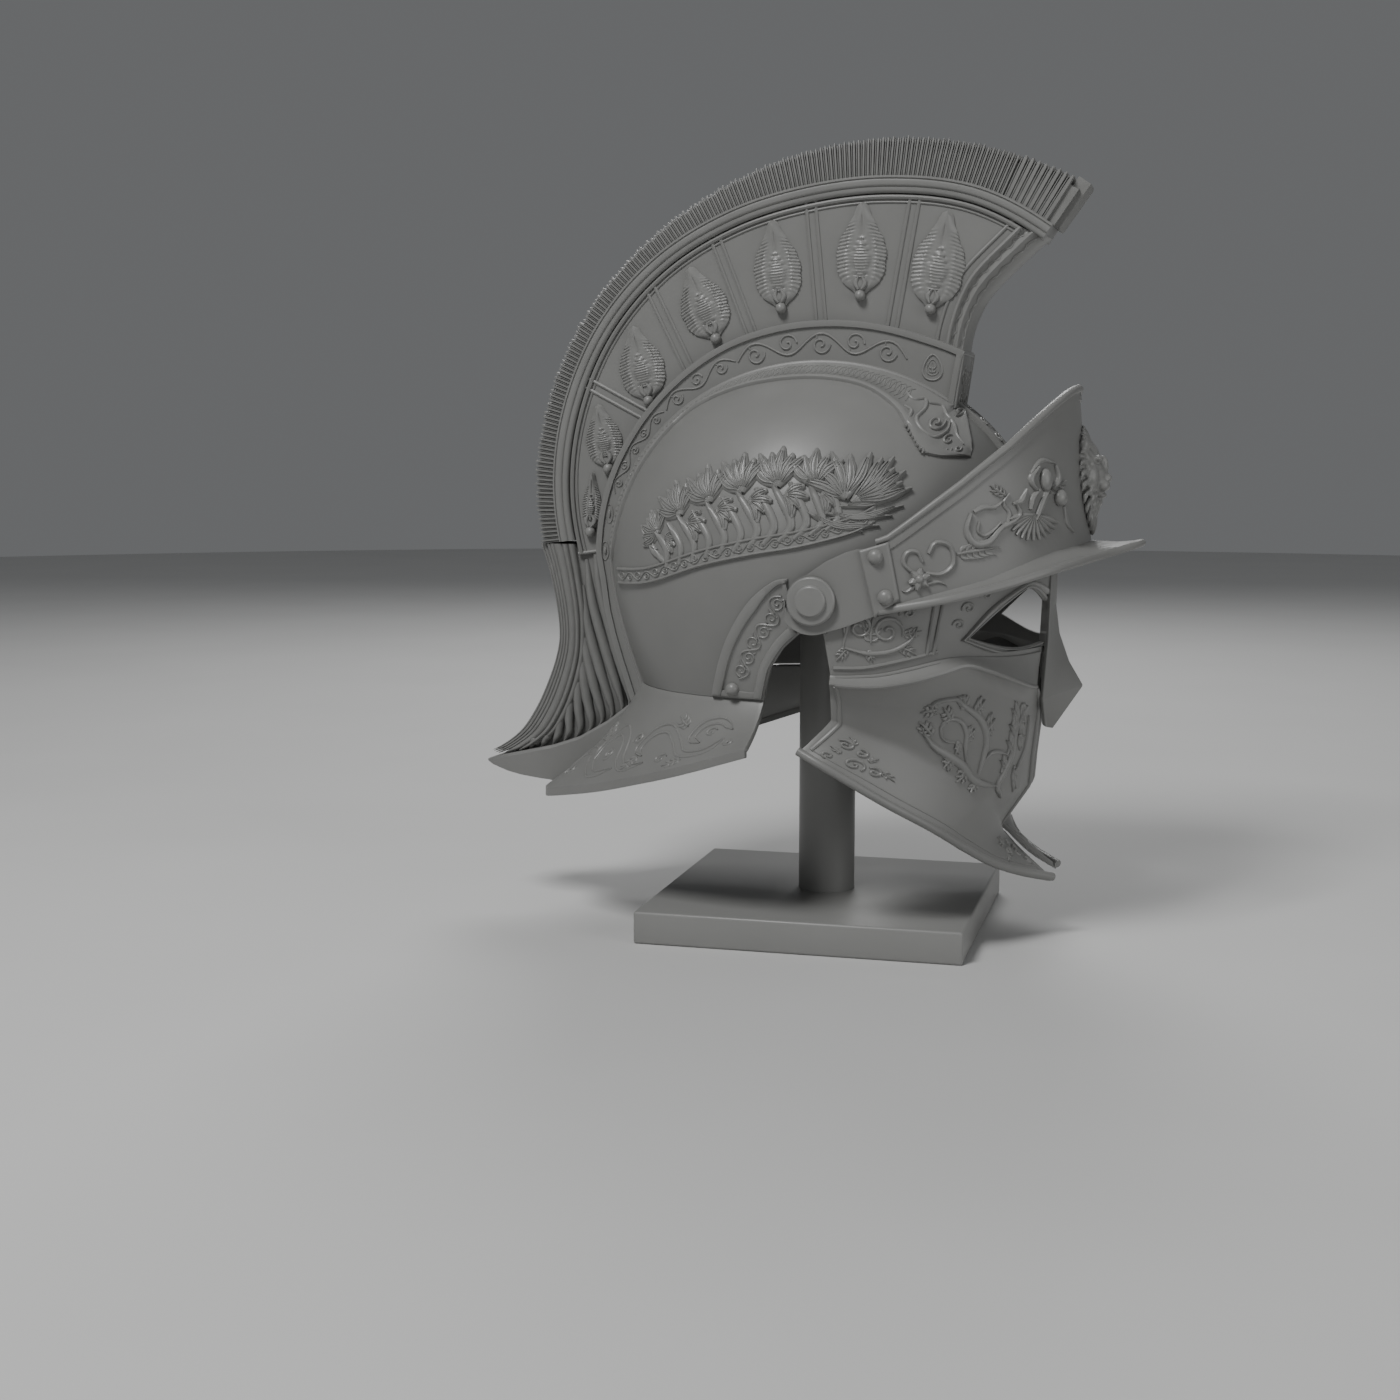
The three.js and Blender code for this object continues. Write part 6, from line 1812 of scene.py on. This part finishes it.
# %% [markdown]
# ## Ornament on the visor
# The visor's sides carry raised ornament as if cast with the plate: a small flower on a curled
# tendril, a leaf, a thick double scroll, a shell and a large bud. They are strokes of changing width
# and stretched balls on the same curved surface, mirrored to the other side. The upper front field
# is left plain.

# %% Visor ornament
art = Carving()
for turn in range(0, 360, 60):
    c, s = at_angle(turn + 20)
    petal = [(66, 203), (66 + 2.9 * c, 203 + 3.2 * s), (66 + 5.2 * c, 203 + 5.6 * s)]
    art.rows(on_visor, [(petal, [1.3, 2.6, 1.0], 2.6)])
art.bead(on_visor, 66, 203, (2.4, 2.4, 2.2), lift=1.2)
art.rows(on_visor, [
    ([(63, 206), (58.5, 211), (60, 216.5), (65, 216.5), (67.5, 212)], [0.9, 1.4, 1.3, 1.0], 1.6),
    ([(69, 206), (77, 205.5), (82.5, 211), (80.5, 219.5), (73.5, 221.5), (70.5, 216)],
     [1.0, 1.5, 1.5, 1.3, 1.2], 1.8),
    ([(64, 199.5), (60, 196.6), (57.8, 197.2)], [1.2, 1.0, 0.3], 1.2),
    ([(70, 200.5), (75, 201.5), (79, 200)], [1.0, 1.1, 0.2], 1.2),
    ([(90, 236), (88.5, 227), (92.5, 220.5), (99, 221.5), (104, 228), (109, 231), (113, 235.5),
      (110.5, 241.5)],
     [0.8, 2.0, 2.4, 2.2, 1.8, 1.5, 0.9], 2.2),
    ([(91.5, 236.5), (96, 239), (101, 238.8), (104.5, 242)], [1.4, 1.7, 1.3, 0.4], 1.7),
    ([(94, 232), (93.5, 227), (96.5, 224.5), (100.5, 227), (104, 231.5)], [0.4, 0.9, 1.0, 0.8, 0.3], 1.6),
    ([(107, 229.5), (108, 236), (105, 241), (107.5, 246)], [0.8, 1.5, 1.3, 0.3], 1.6),
    ([(109.5, 240.5), (113.5, 242), (115.5, 248)], [0.8, 2.2, 0.7], 1.8),
    ([(117.5, 237.5), (118.5, 243), (121, 247.5)], [1.4, 2.2, 0.8], 2.2),
    ([(120, 232), (122.5, 239), (125, 247)], [1.6, 2.2, 1.8], 2.2),
    ([(120, 247.5), (117.5, 253), (120.5, 259.5)], [1.0, 2.6, 0.7], 2.4),
    ([(127, 247.5), (130, 253), (128, 260)], [1.0, 2.4, 0.7], 2.2),
    ([(117, 256), (122, 262.5), (128, 261)], [0.6, 1.7, 0.5], 1.6),
])
art.bead(on_visor, 124, 252.5, (4.2, 6.0, 3.0), lift=0.6, turns=18, rings=10)
art.leaves(on_visor, [((84, 215.5), (104, 218.5))], 0.22, 1.3, 1.3, 5)
for turn in np.linspace(186, 342, 12):
    c, s = at_angle(turn)
    ray = [(119, 235), (119 + 6 * c, 235 + 6.5 * s), (119 + 11.6 * c, 234 + 12.4 * s)]
    art.rows(on_visor, [(ray, [0.6, 1.4, 1.75, 0.8], 1.9)])
art.leaves(on_visor, [((105.5, 245), (98.5, 250)), ((126, 246), (133, 252))], 0.3, 1.1, 1.5, 3)
art.bead(on_visor, 130.5, 243, (4.4, 4.4, 3.6), lift=1.0, turns=20, rings=12)
art.rows(on_visor, [([(133, 238.5), (134.5, 230), (137.5, 224.5)], [1.6, 1.9, 0.4], 1.6)])
hand_over_pair(art.piece("visor_ornament_right"), "trim_metal", body="visor", angle=50)

# %% [markdown]
# ## Scrollwork on the face guard
# Each temple has a closed pair of curls with acanthus leaves. Each cheek has a rising branch in its
# hollow, and the flare has a knot of curls at the ear and a smaller one at the chin.

# %% Face guard scrolls
art = Carving()
TEMPLE_CURLS = [(36, 178, 7.8, 200, -1.5), (50, 176, 8.0, -20, 1.5), (60, 185.5, 4.2, 200, -1.2),
                (42, 190, 4.4, 90, 1.2)]
art.curls(on_face_side, TEMPLE_CURLS, [0.7, 1.2, 0.9, 1.1], 1.2, steps=60, points=30)
art.rows(on_face_side, [
    ([(28, 166), (29.5, 176), (33, 186.5), (42, 191), (54, 187), (64, 191)], [0.5, 1.1, 1.1, 1.4, 1.2, 0.4],
     0.9),
    ([(29, 167.5), (40, 164.5), (52, 165.5), (61, 171), (64.5, 178)], [0.5, 1.3, 1.5, 1.2, 0.4], 1.4),
])
TEMPLE_LEAVES = [
    ((30, 167), (24.5, 160.8)), ((40, 166), (43, 159.9)), ((56, 168), (64, 163.6)), ((27, 178), (22.8, 185)),
    ((58, 174), (66.5, 176)), ((42, 170), (43, 184)), ((50, 187), (58, 195.5)),
]
art.leaves(on_face_side, TEMPLE_LEAVES, 0.34, 0.9, 1.1, 3)
EYE_CURLS = [(84, 178.5, 3.0, 180, -1.2), (88.5, 187, 3.4, 200, -1.2), (96.5, 193.5, 3.0, 200, -1.2)]
art.curls(on_face_side, EYE_CURLS, [0.5, 0.9, 0.7], 1.0, steps=34)
hand_over_pair(art.piece("temple_scrolls_right"), "trim_metal", body="face_guard", angle=50)

art = Carving()
CHEEK_OUT = (0.35, -1, 0.25)  # out of the hollow, a little forward and up
CHEEK_LONG, CHEEK_HIGH = 150, 118  # rough sizes of the cheek along it and down it


def cheek_mm(a, b):
    """The cheek by millimetres: a along it from the ear and b down from its upper edge."""
    return cheek_at(a / CHEEK_LONG, b / CHEEK_HIGH)


art.rows(cheek_mm, [
    ([(91, 83), (84, 81.5), (90, 77), (98, 71.6), (99, 66.5), (104, 60.6)], [0.6, 2.0, 2.3, 2.2, 1.6, 0.5],
     1.8),
    ([(82.5, 81.4), (72, 83), (63.5, 83.4), (57, 81), (49.5, 79.8), (41, 78), (36.5, 74), (34, 69)],
     [0.6, 1.8, 2.4, 2.7, 2.6, 2.2, 1.4, 0.4], 1.9),
    ([(67.5, 81), (70.5, 75.5), (71.5, 70.8), (66.5, 66.5), (56, 62.5), (48, 57.5), (41, 57), (38, 61),
      (41, 63.5)],
     [0.6, 2.0, 2.4, 2.2, 1.8, 1.5, 1.4, 1.2, 0.6], 1.9),
    ([(59, 79.5), (57.5, 75.5), (57.5, 70.8), (53.5, 66.9), (47, 66.1), (43.5, 69.2), (45, 73.9), (51, 74.3)],
     [0.6, 1.5, 1.6, 1.4, 1.2, 1.1, 0.9, 0.5], 1.6),
    ([(70, 77), (76.5, 73.9), (85.5, 72.4), (93.5, 72.4)], [0.5, 1.5, 1.3, 0.4], 1.5),
    ([(105, 74.3), (116, 70.4), (119.5, 66.9), (117.5, 61)], [0.4, 1.7, 1.5, 0.4], 1.6),
], CHEEK_OUT)
BRANCH_LEAVES = [
    ((69.5, 69.2), (76, 65)), ((61.5, 64.5), (67, 60.5)), ((41, 61.4), (33.5, 62)), ((39, 73), (33, 67)),
    ((48, 66.5), (43.5, 61)), ((58, 81), (56, 88)), ((98.5, 71.6), (89, 69)), ((100.5, 67.7), (90, 65)),
    ((100.5, 64.1), (91, 61)), ((102.5, 62.5), (113, 58)), ((101.5, 74.7), (107, 79)),
    ((92.5, 76.3), (85, 74.5)), ((65, 83), (66, 89)), ((50, 80), (46, 85)), ((55.5, 62.5), (52, 56)),
    ((57.5, 72), (62.5, 69)), ((54, 74), (52, 78)), ((104, 66), (113, 66)),
]
EAR_KNOT = [(10.5, 96.6, 3.4, 200, 1.4), (19.5, 106, 4.6, 20, -1.4), (9.5, 108.5, 2.8, 90, 1.1),
            (28, 104.5, 3.2, 200, 1.3), (17.5, 97.6, 2.8, 240, 1.2)]
EAR_LEAVES = [((30, 102), (37, 103.5)), ((12, 103), (7, 102)), ((13, 94), (9, 90.5)), ((22, 100), (24, 96))]
CHIN_KNOT = [(138, 102, 4.2, 200, 1.4), (127, 104, 3.2, 60, -1.2), (143.5, 107.5, 2.4, 200, 1.2)]
CHIN_LEAVES = [((122, 101), (113, 98.5)), ((126, 107), (124, 112)), ((131, 99), (126, 96))]
art.leaves(cheek_mm, BRANCH_LEAVES, 0.42, 1.35, 1.6, 3, CHEEK_OUT)
art.curls(cheek_mm, EAR_KNOT, [0.6, 1.1, 0.8, 0.9], 1.2, CHEEK_OUT)
art.leaves(cheek_mm, EAR_LEAVES, 0.3, 0.9, 1.1, 2, CHEEK_OUT)
art.curls(cheek_mm, CHIN_KNOT, [0.5, 1.0, 0.8], 1.1, CHEEK_OUT)
art.leaves(cheek_mm, CHIN_LEAVES, 0.32, 0.9, 1.1, 2, CHEEK_OUT)
hand_over_pair(art.piece("cheek_scrolls_right"), "trim_metal", body="face_guard", angle=50)

# %% [markdown]
# ## Scrollwork on box and neck guard
# A thin tubular vine runs along the side of the box and ends in a drop-shaped medallion. The neck
# guard has broad ribbons in S-curves, each drawn by its two raised edges.

# %% Box vine and neck ribbons
art = Carving()
box_face = flat(BOX_HALF)


def box_middle(low, high, lift=0.47):
    share = np.linspace(low, high, 60)
    return even_line(box_foot(share) * (1 - lift) + box_rim(share) * lift)


running_scroll(art, box_face, box_middle(0.085, 0.36, 0.5), 8.2, 20, 0.85, 1.1, leaves=1)
running_scroll(art, box_face, box_middle(0.36, 0.5, 0.52), 5.6, 15, 0.8, 1.0, leaves=1)
running_scroll(art, box_face, box_middle(0.5, 0.66, 0.52), 3.6, 11, 0.7, 0.9, leaves=1)
medal = box_foot(0.045) * 0.52 + box_rim(0.045) * 0.48
turn = np.radians(np.linspace(90, 450, 25))
drop_ring = places(medal[0] + 5.0 * np.cos(turn) * (1 - 0.35 * np.sin(turn)), medal[1] + 6.8 * np.sin(turn))
art.stroke(box_face, drop_ring, 0.7, 1.0, steps=60)
art.stroke(box_face, (drop_ring - medal) * 0.62 + medal, 0.45, 0.7, steps=50)
art.leaves(box_face, [(medal - (0, 3), medal + (0, 2.6))], 0.4, 0.7, 0.9, 2)
for share in (0.69, 0.75):
    spot = box_foot(share) * 0.5 + box_rim(share) * 0.5
    oval_ring = places(spot[0] + 2.0 * np.cos(turn), spot[1] + 5.2 * np.sin(turn))
    art.stroke(box_face, oval_ring, 0.5, 0.8, steps=44)
    art.bead(box_face, *spot, (0.9, 2.4, 0.9), lift=0.2)
hand_over_pair(art.piece("box_vine_right"), "trim_metal", angle=50)

art = Carving()
NECK_OUT = (0, 0, 1)
NECK_LONG, NECK_DEEP = 330, 52  # rough sizes of the guard along its edge and out from the skull


def neck_mm(a, b):
    """The right half of the neck guard: a back along it from the ear, b out from the skull."""
    return neck_place(a / NECK_LONG, b / NECK_DEEP)


def ribbon(path, half):
    line = smooth_line(path)(np.linspace(0, 1, 40))
    ahead = np.gradient(line, axis=0)
    across = places(-ahead[:, 1], ahead[:, 0]) / np.linalg.norm(ahead, axis=1, keepdims=True)
    taper = np.interp(np.linspace(0, 1, 40), (0, 0.12, 0.88, 1), (0.1, 1, 1, 0.1))[:, None]
    for side in (-1, 1):
        art.stroke(neck_mm, line + across * side * half * taper, [0.4, 0.8, 0.8, 0.4], 1.0, out=NECK_OUT,
                   steps=60, smooth=False)


ribbon([(16, 30), (24, 40), (38, 38), (46, 27), (57, 17), (69, 19), (74, 28), (67, 34)], 2.3)
ribbon([(13, 22), (22, 14), (33, 16), (37, 25), (30, 30)], 2.0)
ribbon([(62, 40), (74, 42), (84, 34), (92, 22), (104, 17), (114, 24), (110, 33)], 2.3)
ribbon([(84, 41), (97, 44), (107, 38), (120, 28), (131, 30), (134, 38)], 2.0)
NECK_CURLS = [(51, 39, 4.0, 200, 1.4), (80, 22, 3.8, 20, -1.4), (26, 22, 3.6, 200, 1.3),
              (100, 30, 3.8, 100, 1.3), (124, 40, 3.6, 30, -1.3), (12, 36, 3.0, 0, 1.2)]
NECK_LEAVES = [((44, 16), (54, 10)), ((70, 34), (76, 44)), ((116, 20), (128, 16)), ((36, 44), (46, 47))]
art.curls(neck_mm, NECK_CURLS, [0.5, 0.9, 0.7], 1.0, NECK_OUT, steps=36)
art.leaves(neck_mm, NECK_LEAVES, 0.34, 1.0, 1.1, 3, NECK_OUT)
hand_over_pair(art.piece("neck_ribbons_right"), "trim_metal", angle=50)

# %% [markdown]
# ## Front end of the box
# The box ends in front in a slightly swollen upright plate. It gets a raised border, four curls and
# a leaf, drawn with the same strokes, so that the front view isn't bare.

# %% Front end of the box
art = Carving()


def box_front(a, b):
    """a across and b up the front end of the box, both from 0 to 1."""
    return box_end(a, 1 - b)


FRONT_OUT = (1, 0, 0.3)
for side in (-1, 1):
    for low in (0.2, 0.62):
        curl = [(0.5 + side * (0.22 + 0.15 * a), low + 0.19 * b)
                for a, b in spiral((0, 0), 1, 200, 1.3, points=18)]
        art.stroke(box_front, curl, [0.6, 1.0, 0.8], 1.0, out=FRONT_OUT, steps=36)
    art.stroke(box_front, [(0.5 + side * 0.46, 0.04), (0.5 + side * 0.46, 0.96)], 1.3, 1.2, out=FRONT_OUT,
               steps=12)
for low in (0.05, 0.95):
    art.stroke(box_front, [(0.05, low), (0.5, low), (0.95, low)], 1.2, 1.2, out=FRONT_OUT, steps=24)
art.leaves(box_front, [((0.5, 0.12), (0.5, 0.86))], 0.2, 1.2, 1.2, 4, FRONT_OUT)
hand_over(art.piece("box_front_scrolls"), "trim_metal", angle=50)

# %% [markdown]
# ## Floor, light and world
# A plain pale floor and three soft lamps: a key above and left of the camera, a wide fill from the
# right and a rim light high behind. Wide lamps keep the edges of the shadows soft, which shows the
# relief without hard black lines.

# %% Studio
def pale_floor():
    material = bpy.data.materials.new("pale_studio_floor")
    material.use_nodes = True
    tree = material.node_tree
    shader = tree.nodes["Principled BSDF"]
    place = add_node(tree, "ShaderNodeTexCoord")
    specks = add_node(tree, "ShaderNodeTexNoise", None, {
        "Vector": place.outputs["Object"], "Scale": per_metre(180)})
    tree.links.new(two_tones(tree, specks, "#c9c9c8", "#d0d0cf"), shader.inputs["Base Color"])
    shader.inputs["Roughness"].default_value = 0.8
    return material


bpy.ops.mesh.primitive_circle_add(vertices=128, radius=4, fill_type="NGON", location=(0, 0, 0))
floor = bpy.context.object
floor.name = "studio_floor"
floor.data.materials.append(pale_floor())


def lamp(name, place, target, size, power):
    bpy.ops.object.light_add(type="AREA", location=place)
    light = bpy.context.object
    light.name = name
    light.data.size = size
    light.data.energy = power
    direction = np.array(target, float) - np.array(place, float)
    flat_reach = hypot(direction[0], direction[1])
    light.rotation_euler = (pi / 2 + atan2(direction[2], flat_reach), 0,
                            atan2(direction[1], direction[0]) - pi / 2)
    return light


MIDDLE = (0, 0, 0.24)
LAMPS = (  # name, place, size in metres, power in watts
    ("key_light", (-0.45, -1.1, 1.65), 0.5, 24.5), ("fill_light", (1.8, -0.9, 0.6), 1.2, 8.5),
    ("rim_light", (-0.3, 1.5, 1.5), 0.9, 16),
)
for name, place, size, power in LAMPS:
    lamp(name, place, MIDDLE, size, power)
world = bpy.data.worlds.new("studio_air")
bpy.context.scene.world = world
world.use_nodes = True
world.node_tree.nodes["Background"].inputs["Color"].default_value = linear("#c4c6c8")
world.node_tree.nodes["Background"].inputs["Strength"].default_value = 0.25
